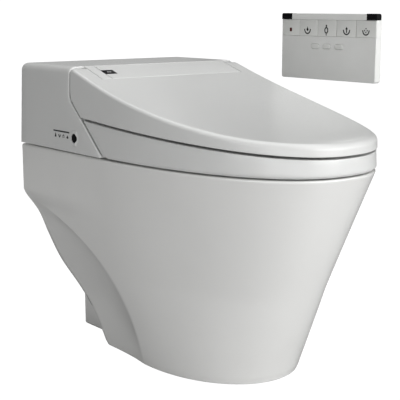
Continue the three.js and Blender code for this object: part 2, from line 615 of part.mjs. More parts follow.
// ---------------------------------------------------------------- lid
// Everything under the lid's top line, which ends in a barrel round the hinge axis.
function belowLidTop(inset) {
  const top = LID_TOP.getPoints(14).map((p) => [p.x, p.y - inset]).reverse();
  const barrel = HINGE.barrel - inset;
  const arc = [108, 84, 60, 36, 12, 0].map((degrees) => {
    const angle = THREE.MathUtils.degToRad(degrees);
    return [HINGE.y + barrel * Math.cos(angle), HINGE.z + barrel * Math.sin(angle)];
  });
  return acrossX([[top[0][0], 380], ...top, ...arc, [HINGE.y + barrel, 380]], -WIDE, WIDE);
}

// The arms are open at the rear below the barrel, so that the seat's arms stay when the lid lifts.
function lidShell() {
  const rearGap = 1.5;
  const outer = planBody(0, 400, 560)
    .intersect(seatLayer(LID_GAP, 200)).intersect(belowLidTop(0)).intersect(aheadOfWing(rearGap));
  const hollow = planBody(WALL, 395, 560).intersect(belowLidTop(WALL));
  const barrelCore = acrossX([[HINGE.y - 40, 430], [REAR, 430], [REAR, HINGE.z], [HINGE.y, HINGE.z],
    [HINGE.y - 40, HINGE.z - 12]], -WIDE, WIDE).intersect(planBody(WALL, 395, 560));
  const notch = block([-ARM_INNER, ARM_INNER], [COVER_FRONT.y - 1.5, REAR], [400, 600]);
  return together(without(outer, hollow, barrelCore, notch), lidBoss(-1), lidBoss(1));
}

function lidBoss(s) {
  const boss = rod("x", [s * 190.5, HINGE.y, HINGE.z], HINGE.barrel - 1.5, 9, 20);
  return without(boss, rod("x", [s * 187, HINGE.y, HINGE.z], HINGE.pin + FIT, 8, 16));
}

const LINER = { low: LID_GAP + 3, high: LID_GAP + 5.5, rear: 88 };

function lidLiner() {
  const behind = block([-WIDE, WIDE], [LINER.rear, REAR + 10], [380, 480]);
  return without(planBody(WALL + 0.5, 400, 480).intersect(seatLayer(LINER.low, LINER.high)), behind);
}

const LID_PAD = { x: [144, 156], y: [-49, -31] };

function lidBumper(s) {
  const [front, rear] = LID_PAD.y;
  return block(mirroredSpan(s, LID_PAD.x), LID_PAD.y, [seatTopZ(rear) + FIT, seatTopZ(front) + LINER.low - FIT]);
}

// ---------------------------------------------------------------- remote control
// In the remote's group x = 0 is its front face, +X runs towards the wall, y and z are central.
const KEY_PITCH = REMOTE.length / 5;
const CAP = { low: 53.8, left: 29, right: 25 };

function keyAt(index, grow) {
  const y = REMOTE.length / 2 - KEY_PITCH * (index + 0.5);
  const half = KEY_PITCH / 2 - 0.5 + grow;
  return { y: [y - half, y + half], z: [KEY.low - grow, KEY.high + grow] };
}

function remoteSlab(x, inset) {
  const [half, high] = [REMOTE.length / 2 - inset, REMOTE.height / 2 - inset];
  const outline = roundedRect([-half, half], [-high, high], 4);
  const turn = new THREE.Matrix4().makeBasis(
    new THREE.Vector3(0, 1, 0), new THREE.Vector3(0, 0, 1), new THREE.Vector3(1, 0, 0));
  return asSolid(extruded(outline, x[1] - x[0]).applyMatrix4(turn).translate(x[0], 0, 0));
}

const SMALL = { y: [32.3, 0.3, -33], z: 1, half: 11.5, high: 5 };

function smallButton(index, grow) {
  const y = SMALL.y[index];
  const size = [SMALL.half + grow, SMALL.high + grow];
  const outline = roundedRect([y - size[0], y + size[0]], [SMALL.z - size[1], SMALL.z + size[1]], 4 + grow);
  const depth = grow ? 4 : 2.4;
  const turn = new THREE.Matrix4().makeBasis(
    new THREE.Vector3(0, 1, 0), new THREE.Vector3(0, 0, 1), new THREE.Vector3(1, 0, 0));
  return asSolid(extruded(outline, depth).applyMatrix4(turn).translate(grow ? -0.5 : -0.4, 0, 0));
}

function remoteKey(index) {
  const { y, z } = keyAt(index, 0);
  return block([0.1, 3.2], y, z);
}

function remoteCap(s) {
  const half = REMOTE.length / 2;
  const y = s > 0 ? [half - CAP.left, half + 0.3] : [-half - 0.3, CAP.right - half];
  const corner = remoteSlab([-0.3, REMOTE.body], -0.3).intersect(block([-1, REMOTE.thick], y, [CAP.low, 70]));
  const core = remoteSlab([2, 20], 2).intersect(block([1, 22], [y[0] - 9, y[1] + 9], [CAP.low - 5, 70]));
  return without(corner, core);
}

function remoteBody() {
  const slab = remoteSlab([0, REMOTE.body], 0);
  const bays = [0, 1, 2, 3, 4].map((i) => {
    const { y, z } = keyAt(i, 0.3);
    return block([-1, 5], y, z);
  });
  const holes = [0, 1, 2].map((i) => smallButton(i, 0.3));
  const half = REMOTE.length / 2;
  const corners = [[half - CAP.left - FIT, half + 2], [-half - 2, CAP.right + FIT - half]].map((y) =>
    without(block([-2, REMOTE.thick], y, [CAP.low - FIT, 70]), remoteSlab([2 + FIT, 20], 2 + FIT)));
  const hollow = block([7, REMOTE.thick], [-half + 8, half - 8], [-58, 12]);
  return without(slab, ...bays, ...holes, ...corners, hollow);
}

const remoteBack = () => remoteSlab([REMOTE.body + FIT, REMOTE.thick], 1);
const HOLDER = { half: [95, 45], depth: 3, screw: 60 };

function wallHolder() {
  const x = REMOTE.thick + FIT;
  const [long, high] = HOLDER.half;
  const plate = block([x, x + HOLDER.depth], [-long, long], [-high, high]);
  return without(plate, ...[-1, 1].map((s) => rod("x", [x, s * HOLDER.screw, 0], 3, 3, 16)));
}

// ---------------------------------------------------------------- assembly
const mesh = (name, solid, look) => {
  const part = new THREE.Mesh(asGeometry(solid), new THREE.MeshStandardMaterial(look));
  part.name = name;
  return part;
};

const group = new THREE.Group();
const put = (name, solid, look) => group.add(mesh(name, solid, look));
const SIDES = [["left", -1], ["right", 1]];

put("ceramic_pan", ceramicPan(), GLAZE);
put("floor_bracket", floorBracket(), STEEL);
put("outlet_connector", outletConnector(), RUBBER);
put("flush_valve", flushValve(), PALE_PLASTIC);
put("mounting_plate", mountingPlate(), STEEL);

put("rear_housing", rearHousing(), GLOSS_WHITE);
put("base_tray", baseTray(), PALE_PLASTIC);
put("center_cover", centerCover(), GLOSS_WHITE);
put("hinge_end_cap", hingeEndCap(), GLOSS_WHITE);
put("display_window", displayWindow(), BLACK_GLOSS);
put("side_bezel", sideBezel(), GLOSS_WHITE);
put("side_button", sideButton(), BLACK_GLOSS);

for (const [side, s] of SIDES) {
  put(`mounting_bolt_${side}`, mountingBolt(s), STEEL);
  put(`mounting_nut_${side}`, mountingNut(s), RUBBER);
  put(`hinge_pin_${side}`, hingePin(s), STEEL);
  put(`hinge_damper_${side}`, hingeDamper(s), GREY_PLASTIC);
}

group.add(nozzleGroup([
  mesh("nozzle_guide", nozzleGuide(), GREY_PLASTIC),
  mesh("nozzle_rear_wash", nozzle(-NOZZLE.x), STEEL),
  mesh("nozzle_front_wash", nozzle(NOZZLE.x), STEEL),
  mesh("nozzle_motor", nozzleMotor(), GREY_PLASTIC),
]));

put("water_tank", roundedTank(TANK), PALE_PLASTIC);
put("water_heater", roundedTank(HEATER), GREY_PLASTIC);
put("water_pump", pump(), GREY_PLASTIC);
put("inlet_valve", inletValve(), GREY_PLASTIC);
put("inlet_connector", inletConnector(), STEEL);
put("cord_gland", cordGland(), RUBBER);
put("deodorizer_filter", roundedTank(FILTER), PALE_PLASTIC);
put("dryer_fan_housing", fanHousing(), GREY_PLASTIC);
put("dryer_fan_rotor", fanRotor(), PALE_PLASTIC);
put("dryer_duct", dryerDuct(), GREY_PLASTIC);
put("control_board", boxOf(CONTROL_BOARD), BOARD);
put("power_board", boxOf(POWER_BOARD), BOARD);

put("seat_top", seatTop(), GLOSS_WHITE);
put("seat_bottom", seatBottom(), GLOSS_WHITE);
put("seat_heater", seatHeater(), STEEL);
for (const [side, s] of SIDES) {
  put(`seat_bumper_front_${side}`, seatBumper(s, SEAT_PAD.front), RUBBER);
  put(`seat_bumper_rear_${side}`, seatBumper(s, SEAT_PAD.rear), RUBBER);
}

put("lid_shell", lidShell(), GLOSS_WHITE);
put("lid_liner", lidLiner(), GLOSS_WHITE);
for (const [side, s] of SIDES) put(`lid_bumper_${side}`, lidBumper(s), RUBBER);

const remote = new THREE.Group();
remote.position.set(REMOTE.x, REMOTE.y, REMOTE.z);
remote.add(mesh("remote_body", remoteBody(), PALE_PLASTIC));
remote.add(mesh("remote_back_cover", remoteBack(), PALE_PLASTIC));
for (const [side, s] of SIDES) remote.add(mesh(`remote_cap_${side}`, remoteCap(-s), BLACK_GLOSS));
["stop", "rear_wash", "front_wash", "turbo_wash", "dryer"].forEach((use, i) =>
  remote.add(mesh(`remote_key_${use}`, remoteKey(i), PALE_PLASTIC)));
["minus", "mode", "plus"].forEach((use, i) =>
  remote.add(mesh(`remote_button_${use}`, smallButton(i, 0), PALE_PLASTIC)));
remote.add(mesh("remote_wall_holder", wallHolder(), PALE_PLASTIC));
group.add(remote);

export default group;
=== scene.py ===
"""Looks of the floor-standing shower toilet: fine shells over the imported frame, materials, light, camera.

Shapes are worked out in millimetres in the frame's own axes and are scaled to metres when a mesh
is made. +Z is up, the nose points along -Y and the wall is behind, at +Y.
"""
import math

import bmesh
import bpy
import numpy as np
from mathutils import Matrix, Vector


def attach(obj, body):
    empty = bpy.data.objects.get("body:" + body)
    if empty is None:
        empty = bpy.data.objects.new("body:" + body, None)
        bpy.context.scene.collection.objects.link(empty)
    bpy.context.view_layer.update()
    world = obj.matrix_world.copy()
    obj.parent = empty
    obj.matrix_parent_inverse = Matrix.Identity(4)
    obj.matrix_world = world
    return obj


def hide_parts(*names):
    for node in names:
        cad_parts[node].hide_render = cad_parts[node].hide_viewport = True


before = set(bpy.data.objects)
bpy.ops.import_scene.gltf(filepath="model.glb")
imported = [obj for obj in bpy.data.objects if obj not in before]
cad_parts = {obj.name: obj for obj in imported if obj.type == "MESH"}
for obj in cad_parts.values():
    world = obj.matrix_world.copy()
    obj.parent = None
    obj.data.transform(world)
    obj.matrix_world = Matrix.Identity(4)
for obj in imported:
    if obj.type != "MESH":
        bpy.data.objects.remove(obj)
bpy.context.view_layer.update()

# -------- driving dimensions, in millimetres
MM = 0.001
REAR = 347.0
NOSE = -349.9
HALF_WIDTH = 205.0
SHOULDER = 94.0
OVAL_POWER = 2.36
RIM_Z = 385.0
PLASTIC_Z = RIM_Z + 3
TOP_Z = 543.0
SIDE_DRAFT = 7 / 158
WALL = 3.0
CERAMIC = 14.0
FIT = 0.3                # the play round every fitted part

HINGE = {"y": 161.0, "z": 530.0, "barrel": 9.0, "pin": 3.0}
WING_FACE = 171.5
ARM_INNER = 166.5
COVER_FRONT = (110.0, 523.0)
WING_LINE = [(-39.6, 300), (131, 451.5), (160, 474.5), (169.5, 485.5), (171.5, 492), (171.5, 583)]
HOUSING_CORNER = 14.0
LIP = 2.4                # the round of the rim about the housing's front face
GROOVE = {"inner": 9.5, "outer": 2.9, "deep": 2.2}    # the groove inside that rim
FLARE = {"below": 402, "over": 14, "extra": 1.5}      # the rim widens towards its foot
SEAT_NOSE_Z = 416.5
SEAT_SLOPE = 33 / 481
LID_LINE = [(-353, 441), (-250, 448), (-146, 462.6), (-57, 479.8), (51, 505.7), COVER_FRONT]
LID_GAP = 4.6
LID_ROUND = {"rear": (7.0, 5.5), "nose": (14.0, 9.5)}    # how far in and down its top edge is rounded
LID_REAR_GAP = 3.2
LID_CROWN = {"high": 1.6, "reach": 60}
LID_ARM = (186, 196)
SEAT_REAR_GAP = 3.4
SEAT_DISH = {"deep": 2.5, "reach": 70}
SEAT_ARM = (172, 184)
SEAT_INSET = 2.0
SEAT_WEB = [(92, 442), (114, 442), (157.5, 521.7), (160, 527), (156, 531), (152.8, 526.2)]
SEAT_HOLE = {"side": 106.0, "front": -268.0, "rear": 22.0}
BOWL = {"side": 118.0, "front": -270.0, "rear": 48.0, "low": 118.0, "top": RIM_Z - 25}
BOWL_LEVELS = [BOWL["low"], 125, 132, 140, 150, 165, 180, 200, 220, 240, 262, 285, 308, 330, 345, BOWL["top"]]
NICHE = {"side": 72.0, "y": 112.0, "z": 436.2}
NOZZLE = {"x": 16.0, "radius": 8.0, "tilt": math.radians(22), "tip_y": 114.0, "tip_z": 422.4}
TRAP = {"side": 90.0, "front": 130.0, "rear": 311.0, "top": 165.0, "bore": 30.0, "skin": 10.0}
TRAP_LINE = [(40, 150), (100, 196), (150, 214), (196, 190), (222, 140), (262, 100)]
TRAP_ENDS = (132, 100)   # the heights where it starts and ends
BOLT_HOLE = {"x": 77.5, "y": 210, "radius": 6.5}
DUCT_HOLE = {"x": (-63, -45), "z": (398, 424)}
REAR_HOLES = {-163: 10.3, 160: 9.3}                   # their x and radius
REAR_HOLE_Z = 425
FOOT = {"side": 140.6, "nose": -185.5, "power": 2.08}
CREASE_TOP = 277.0
REAR_FULL = 293.0
RIM = {"side": HALF_WIDTH - 1.5, "nose": NOSE + 3}
BUTTON = {"y": 151.8, "z": 414.0, "radius": 8.5}
DISH = {"y": 149.2, "radius": 15.0, "floor_from": 145.5, "slope": 0.7}
COVER = {"low": 468.0, "skin": 2.5, "centre": (-142.5, 165.1), "end_cap": (-164.7, -144.0)}
DISPLAY = {"x": (-145, -117.3), "y": (131.7, 150.8), "deep": 1.8}
REMOTE = {"x": 300.0, "y": 4.75, "z": 571.75, "long": 258.5, "high": 131.5, "body": 13.0, "corner": 5.0}
REMOTE_DEPTH = 16.0
KEYS = {"low": 20.8, "high": 53.2, "count": 5}
CAPS = {"low": 53.8, "left": 29.0, "right": 25.0}
CAPSULES = {"minus": 37.05, "mode": 5.05, "plus": -28.25}
CAPSULE_HALF = 11.5
CAPSULE = {"half_high": 5.0, "up": 1.0, "proud": 1.7, "rise": 1.9, "pillow": 3.0}


# -------- meshes
def make(name, points, faces):
    """A mesh object from points in millimetres."""
    mesh = bpy.data.meshes.new(name)
    mesh.from_pydata((np.asarray(points, float) * MM).tolist(), [], faces)
    mesh.validate()
    piece = bpy.data.objects.new(name, mesh)
    bpy.context.scene.collection.objects.link(piece)
    return piece


def tidy(piece, merge=0.02):
    """Merges doubled points and turns every face outwards."""
    work = bmesh.new()
    work.from_mesh(piece.data)
    bmesh.ops.remove_doubles(work, verts=work.verts, dist=merge * MM)
    bmesh.ops.dissolve_degenerate(work, edges=work.edges, dist=merge * MM)
    bmesh.ops.recalc_face_normals(work, faces=work.faces)
    work.to_mesh(piece.data)
    work.free()
    return piece


def smooth(piece, angle=30):
    """Smooth shading that keeps edges sharper than the angle."""
    piece.data.polygons.foreach_set("use_smooth", [True] * len(piece.data.polygons))
    piece.data.set_sharp_from_angle(angle=math.radians(angle))
    return piece


def freeze(piece):
    """Applies the piece's modifiers to its mesh."""
    graph = bpy.context.evaluated_depsgraph_get()
    mesh = bpy.data.meshes.new_from_object(piece.evaluated_get(graph))
    piece.modifiers.clear()
    piece.data = mesh
    return piece


def combine(piece, operation, *tools):
    """Joins the tools to the piece, or cuts them from it."""
    for tool in tools:
        step = piece.modifiers.new("combine", "BOOLEAN")
        step.operation = operation
        step.solver = "MANIFOLD"
        step.object = tool
        freeze(piece)
        bpy.data.objects.remove(tool)
    return piece


def cut(piece, *tools):
    return combine(piece, "DIFFERENCE", *tools)


def join(piece, *tools):
    return combine(piece, "UNION", *tools)


def bevel(piece, width, segments=3, angle=35):
    """Rounds the piece's sharp edges."""
    step = piece.modifiers.new("bevel", "BEVEL")
    step.width = width * MM
    step.segments = segments
    step.angle_limit = math.radians(angle)
    step.use_clamp_overlap = True
    step.harden_normals = True
    return piece


def prisms(name, outlines, axis, low, high):
    """Solids with flat outlines, carried along one axis. The outlines' pairs are the other two axes."""
    place = {"x": lambda a, b, h: (h, a, b), "y": lambda a, b, h: (a, h, b), "z": lambda a, b, h: (a, b, h)}[axis]
    points, faces = [], []
    for outline in outlines:
        first, count = len(points), len(outline)
        points += [place(a, b, h) for h in (low, high) for a, b in outline]
        sides = [(i, (i + 1) % count, count + (i + 1) % count, count + i) for i in range(count)]
        ends = [range(count), range(2 * count - 1, count - 1, -1)]
        faces += [tuple(first + i for i in face) for face in (*ends, *sides)]
    return tidy(make(name, points, faces))


def prism(name, outline, axis, low, high):
    return prisms(name, [outline], axis, low, high)


def block(name, x, y, z):
    return prism(name, [(x[0], y[0]), (x[1], y[0]), (x[1], y[1]), (x[0], y[1])], "z", *z)


def circle(a, b, radius, sides=64):
    turns = np.linspace(0, 2 * np.pi, sides, endpoint=False)
    return [(a + radius * math.cos(t), b + radius * math.sin(t)) for t in turns]


def rounded_rect(a, b, radius, steps=6):
    """A rectangle from a[0], b[0] to a[1], b[1] with round corners."""
    corners = [(a[1] - radius, b[0] + radius, -90), (a[1] - radius, b[1] - radius, 0),
               (a[0] + radius, b[1] - radius, 90), (a[0] + radius, b[0] + radius, 180)]
    points = []
    for u, v, start in corners:
        for step in range(steps + 1):
            turn = math.radians(start + 90 * step / steps)
            points.append((u + radius * math.cos(turn), v + radius * math.sin(turn)))
    return points


def stroke(points, width):
    """The outline of a line of some width through the points."""
    line = np.asarray(points, float)
    way = np.gradient(line, axis=0)
    way /= np.linalg.norm(way, axis=1)[:, None]
    across = np.stack([-way[:, 1], way[:, 0]], 1) * width / 2
    return [*map(tuple, line + across), *map(tuple, (line - across)[::-1])]


def loft(name, rings):
    """A closed body through rings of equal point count."""
    count = len(rings[0])
    points = [p for ring in rings for p in ring]
    faces = []
    for level in range(len(rings) - 1):
        for i in range(count):
            a, b = level * count + i, level * count + (i + 1) % count
            faces.append((a, b, b + count, a + count))
    last = (len(rings) - 1) * count
    faces += [tuple(range(count))[::-1], tuple(range(last, last + count))]
    return tidy(make(name, points, faces))


def mirrored_solid(name, rings, across=36, shape=None):
    """A closed body through rings that are each half of a mirrored outline, with x at least 0.

    Every ring runs from its near edge to its far end. Both ends are filled with rows across x,
    and shape, where given, moves the points of the last ring's rows. It leaves the ends of a row.
    """
    rings = [np.asarray(ring, float) for ring in rings]
    count = len(rings[0])
    pointed = rings[0][-1][0] < 1e-6
    flip = np.array([-1, 1, 1])

    def row(ring, k):
        share = np.linspace(0, 1, across + 1)[:, None]
        line = ring[k] * (1 - share) + ring[k] * flip * share
        if shape is not None and ring is rings[-1]:
            line = np.array([shape(p, ring[k][0]) for p in line])
        return line

    def loop(ring):
        far = [] if pointed else list(row(ring, count - 1)[1:-1])
        left = list((ring * flip)[::-1][1 if pointed else 0:])
        return [*ring, *far, *left, *row(ring, 0)[::-1][1:-1]]

    loops = [loop(ring) for ring in rings]
    size = len(loops[0])
    points = [p for one in loops for p in one]
    faces = []
    for level in range(len(loops) - 1):
        for i in range(size):
            a, b = level * size + i, level * size + (i + 1) % size
            faces.append((a, b, b + size, a + size))
    for which, ring in ((0, rings[0]), (-1, rings[-1])):
        start = len(points)
        width = across + 1
        for k in range(count):
            points.extend(row(ring, k))
        for k in range(count - 1):
            for i in range(across):
                a = start + k * width + i
                quad = (a, a + 1, a + 1 + width, a + width)
                faces.append(quad if which else quad[::-1])
    return tidy(make(name, points, faces))


# -------- shared outlines
def softened(points, rounds=2):
    """A line with its corners cut twice, so that they read as round."""
    line = np.asarray(points, float)
    for _ in range(rounds):
        inner = [p for a, b in zip(line[:-1], line[1:]) for p in (a * 0.75 + b * 0.25, a * 0.25 + b * 0.75)]
        line = np.array([line[0], *inner, line[-1]])
    return line


def through(points, at):
    """A smooth line through the points, read at the given places."""
    u, v = np.asarray(points, float).T
    slopes = np.gradient(v, u)
    at = np.asarray(at, float)
    k = np.clip(np.searchsorted(u, at) - 1, 0, len(u) - 2)
    span = u[k + 1] - u[k]
    t = np.clip((at - u[k]) / span, 0, 1)
    start = v[k] * (2 * t ** 3 - 3 * t ** 2 + 1) + slopes[k] * span * (t ** 3 - 2 * t ** 2 + t)
    return start + v[k + 1] * (3 * t ** 2 - 2 * t ** 3) + slopes[k + 1] * span * (t ** 3 - t ** 2)


WING = softened(WING_LINE)


def wing_y(z, gap=0.0):
    """The housing's front face at a height, moved forward by a clear gap."""
    z, step = np.asarray(z, float), 2
    y, above, below = (np.interp(at, WING[:, 1], WING[:, 0]) for at in (z, z + step, z - step))
    return y - gap * np.sqrt(1 + ((above - below) / (2 * step)) ** 2)


def draft(z):
    """How far a side leans in at a height."""
    return (z - RIM_Z) * SIDE_DRAFT


def seat_z(y):
    return SEAT_NOSE_Z + (y - NOSE) * SEAT_SLOPE


def lid_z(y):
    """The lid's top line, which runs up to a barrel round the hinge line. It meets the barrel at its crest."""
    y = np.asarray(y, float)
    crest = 158.2
    rise = HINGE["z"] + math.sqrt(HINGE["barrel"] ** 2 - (crest - HINGE["y"]) ** 2) - COVER_FRONT[1]
    slope = COVER_FRONT[1] + (y - COVER_FRONT[0]) * rise / (crest - COVER_FRONT[0])
    round_part = HINGE["z"] + np.sqrt(np.clip(HINGE["barrel"] ** 2 - (y - HINGE["y"]) ** 2, 0, None))
    back = np.where(y > crest, round_part, slope)
    return np.where(y > COVER_FRONT[0], back, through(LID_LINE, y))


CORNER_TURNS = np.radians([90, 60, 30, 0])
STRAIGHT = np.linspace(0, 1, 22)[1:]
OVAL_TURNS = np.linspace(0, np.pi / 2, 61)[1:]
RING_COUNT = len(CORNER_TURNS) + len(STRAIGHT) + len(OVAL_TURNS)


def half_plan(side, nose, rear, corner, power=OVAL_POWER):
    """Half of the plan, from its round rear corner along the side and round to the nose.

    The sizes may differ from point to point, as arrays. A rear ahead of the shoulder cuts the oval short.
    """
    side, nose, rear = (np.broadcast_to(np.asarray(v, float), RING_COUNT) for v in (side, nose, rear))
    first, second = len(CORNER_TURNS), RING_COUNT - len(OVAL_TURNS)
    x = np.array(side)
    y = np.zeros(RING_COUNT)
    x[:first] += corner * (np.cos(CORNER_TURNS) - 1)
    y[:first] = rear[:first] + corner * (np.sin(CORNER_TURNS) - 1)
    start = rear[first:second] - corner
    y[first:second] = start + (np.minimum(SHOULDER, start) - start) * STRAIGHT
    lost = np.clip((SHOULDER - rear[second:] + corner) / (SHOULDER - nose[second:]), 0, 1) ** (power / 2)
    turns = np.arcsin(lost) * (1 - OVAL_TURNS * 2 / np.pi) + OVAL_TURNS
    c, s = np.cos(turns).clip(0), np.sin(turns)
    x[second:] = side[second:] * c ** (2 / power)
    y[second:] = SHOULDER - (SHOULDER - nose[second:]) * s ** (2 / power)
    x[-1] = 0
    return x, y


def plan_ring(height, inset, gap, corner=1.5):
    """A ring of the drafted plan. Its height is a function of y, and its inset may be one too.

    The height changes the plan and the plan changes the height, so it settles in a few rounds.
    """
    z = np.full(RING_COUNT, 460.0)
    y = half_plan(HALF_WIDTH, NOSE, WING_FACE, corner)[1]
    for _ in range(6):
        off = (inset(y) if callable(inset) else inset) + draft(z)
        x, y = half_plan(HALF_WIDTH - off, NOSE + off, wing_y(z, gap), corner)
        z = height(y)
    return np.stack([x, y, z], 1)


def fillet(radius, steps=7):
    """How far in and how far down a round edge stands, from its side to its top, as pairs."""
    turns = np.linspace(0, np.pi / 2, steps + 1)
    return [(radius * (1 - math.cos(t)), radius * (1 - math.sin(t))) for t in turns]


def oval_ring(side, front, rear, z, count=120):
    """A closed oval, a little fuller than an ellipse. z is a height or a function of y."""
    middle, half, full = (front + rear) / 2, (rear - front) / 2, 0.92
    points = []
    for turn in np.linspace(0, 2 * np.pi, count, endpoint=False):
        c, s = math.cos(turn), math.sin(turn)
        x = side * math.copysign(abs(c) ** full, c)
        y = middle + half * math.copysign(abs(s) ** full, s)
        points.append((x, y, z(y) if callable(z) else z))
    return points


def around(middle, reach):
    return middle - reach, middle + reach


def pin_hole(low, high):
    return prism("pin_hole", circle(HINGE["y"], HINGE["z"], HINGE["pin"] + FIT, 32), "x", low, high)


# -------- ceramic pan
REAR_EDGE = [(0, 164), (50, 206), (92, 252), (145, 312), (200, 337), (CREASE_TOP, REAR - 2)]
REAR_SIDE = [(0, 131), (92, 131), (118, 135.5), (150, 143), (200, 157), (240, 171), (258, 181),
             (REAR_FULL, RIM["side"]), (RIM_Z, RIM["side"])]


def pan_side(z):
    return FOOT["side"] + (RIM["side"] - FOOT["side"]) * z / RIM_Z


def pan_nose(z):
    return FOOT["nose"] + (RIM["nose"] - FOOT["nose"]) * (z / RIM_Z) ** 1.05


def crease_y(z):
    """Where the skirt's crease stands at a height. It starts near the foot and sweeps back as it rises."""
    u = z / CREASE_TOP
    return 24 + 177 * u ** 2 + 147 * u ** 5


def rear_edge_y(z):
    return float(through(REAR_EDGE, z)) if z < CREASE_TOP else REAR - 2


def rear_side(z):
    return float(through(REAR_SIDE, z)) if z < REAR_FULL else RIM["side"]


def set_in(t):
    """How far the skirt behind the crease has turned in, from 0 at the crease to 1 at its rear edge."""
    soft = 0.05
    t = np.clip(t, 0, 1)
    t = np.where(t < soft, t ** 2 / (2 * soft), t - soft / 2) / (1 - soft / 2)
    return 1 - (1 - t) ** 2.6


def pan_ring(z, inset=0.0, rear=None, lift=0.0):
    """Half of the pan's outline at a height. Towards the wall it widens above the crease.

    rear moves its last row, and lift moves the whole ring up without changing its outline.
    """
    z = float(z)
    edge = rear_edge_y(z)
    start = min(crease_y(z), edge - 5)
    side = pan_side(z)
    wider, narrower = max(0, rear_side(z) - side), max(0, side - rear_side(z))
    shoulder = min(SHOULDER, crease_y(z) - 6)
    behind = edge - (edge - start) * np.linspace(0, 1, 40) ** 0.8
    ahead = start + (shoulder - start) * np.linspace(0, 1, 14)[1:]
    y = np.concatenate([behind, ahead])
    x = side + wider * np.clip((y - SHOULDER) / (REAR - SHOULDER), 0, 1)
    x = x - narrower * set_in((y - start) / (edge - start)) - inset
    power = FOOT["power"] + (OVAL_POWER - FOOT["power"]) * z / RIM_Z
    c, s = np.cos(OVAL_TURNS).clip(0), np.sin(OVAL_TURNS)
    oval_x = (side - inset) * c ** (2 / power)
    oval_y = shoulder - (shoulder - pan_nose(z) - inset) * s ** (2 / power)
    oval_x[-1] = 0
    x, y = np.concatenate([x, oval_x]), np.concatenate([y, oval_y])
    if rear is None:
        x[0] -= 2.1
    else:
        y[0] = rear
    return np.stack([x, y, np.full(len(x), z + lift)], 1)


def bowl_ring(z, grow):
    """The bowl's section, wide at the rim and closing towards the trap."""
    least, back_shift = 0.24, 70
    t = min(1, max(0, (z - BOWL["low"]) / (BOWL["top"] - BOWL["low"])))
    opened = least + (1 - least) * math.sin(t * math.pi / 2) ** 0.85
    middle = (BOWL["front"] + BOWL["rear"]) / 2 + back_shift * (1 - t) ** 1.5
    half = (BOWL["rear"] - BOWL["front"]) / 2 * opened + grow
    return oval_ring(BOWL["side"] * opened + grow, middle - half, middle + half, z)


def trap_tube(name, radius, start, end):
    """The water way's tube, which rises behind the bowl and falls to the outlet."""
    line = [(start, TRAP_ENDS[0]), *TRAP_LINE, (end, TRAP_ENDS[1])]
    ends = [np.array(line[0]) * 2 - line[1], *map(np.array, line), np.array(line[-1]) * 2 - line[-2]]
    path = []
    for a, b, c, d in zip(ends, ends[1:], ends[2:], ends[3:]):
        for t in np.linspace(0, 1, 9)[:-1]:
            path.append(0.5 * (2 * b + (c - a) * t + (2 * a - 5 * b + 4 * c - d) * t ** 2
                               + (3 * b - a - 3 * c + d) * t ** 3))
    path = np.array([*path, line[-1]])
    way = np.gradient(path, axis=0)
    way /= np.linalg.norm(way, axis=1)[:, None]
    rings = []
    for (y, z), (dy, dz) in zip(path, way):
        rings.append([(radius * math.cos(t), y - dz * radius * math.sin(t), z + dy * radius * math.sin(t))
                      for t in np.linspace(0, 2 * np.pi, 48, endpoint=False)])
    return loft(name, rings)


def build_pan():
    rings = [pan_ring(0, d, lift=e) for d, e in fillet(3, 4)[::-1]]
    rings += [pan_ring(z) for z in (*np.linspace(8, 360, 44), 372, 378)]
    rings += [pan_ring(RIM_Z - e, d) for d, e in fillet(4.5, 6)]
    pan = mirrored_solid("pan_glazed", rings, 30)
    heights = [-1, *np.linspace(8, RIM_Z - CERAMIC, 30)]
    inner = [pan_ring(max(z, 0), CERAMIC, REAR + 30, lift=min(z, 0)) for z in heights]
    side, front, rear, top = (TRAP[k] for k in ("side", "front", "rear", "top"))
    trap = freeze(bevel(prism("trap", rounded_rect((-side, side), (front, rear), 8), "z", 0, top), 5, 4))
    room = block("room", (CERAMIC - side, side - CERAMIC), (front - 20, rear - CERAMIC), (-1, top - CERAMIC))
    outer_bowl = [bowl_ring(z, CERAMIC) for z in BOWL_LEVELS]
    outer_bowl[0] = [(x, y, z - CERAMIC) for x, y, z in outer_bowl[0]]
    outer_bowl.append([(x, y, RIM_Z - 2) for x, y, z in bowl_ring(RIM_Z, CERAMIC)])
    lip = 7
    hollow = [bowl_ring(z, 0) for z in BOWL_LEVELS]
    hollow += [[(x, y, RIM_Z - e) for x, y, _ in bowl_ring(RIM_Z, d)] for d, e in fillet(lip)[1:]]
    hollow.append([(x, y, RIM_Z + 5) for x, y, _ in bowl_ring(RIM_Z, lip)])
    cut(pan, mirrored_solid("inner", inner, 30))
    join(pan, cut(trap, room))
    join(pan, loft("bowl_outer", outer_bowl), trap_tube("trap_outer", TRAP["bore"] + TRAP["skin"], 0, TRAP["rear"]))
    cut(pan, loft("bowl_hollow", hollow), trap_tube("trap_bore", TRAP["bore"], -14, TRAP["rear"] + 2))
    for side in (-1, 1):
        hole = circle(side * BOLT_HOLE["x"], BOLT_HOLE["y"], BOLT_HOLE["radius"], 24)
        cut(pan, prism("bolt_hole", hole, "z", *around(RIM_Z, 30)))
    smooth(tidy(pan), 40)
    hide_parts("ceramic_pan")
    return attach(pan, "root")


# -------- housing
def section(inset, low):
    """Half of the housing's section as (x, z), up the side and round to the flat top."""
    high = TOP_Z - inset
    radius = HOUSING_CORNER - inset / 2
    heights = np.linspace(low, high - radius, 28)
    points = [(HALF_WIDTH - draft(z) - inset, z) for z in heights]
    centre = HALF_WIDTH - draft(high) - inset - radius
    start = points[-1][0] - centre
    for turn in np.radians(np.linspace(0, 90, 9)[1:]):
        points.append((centre + start * math.cos(turn), high - radius + radius * math.sin(turn)))
    points[-1] = (centre, high)
    return np.array(points)


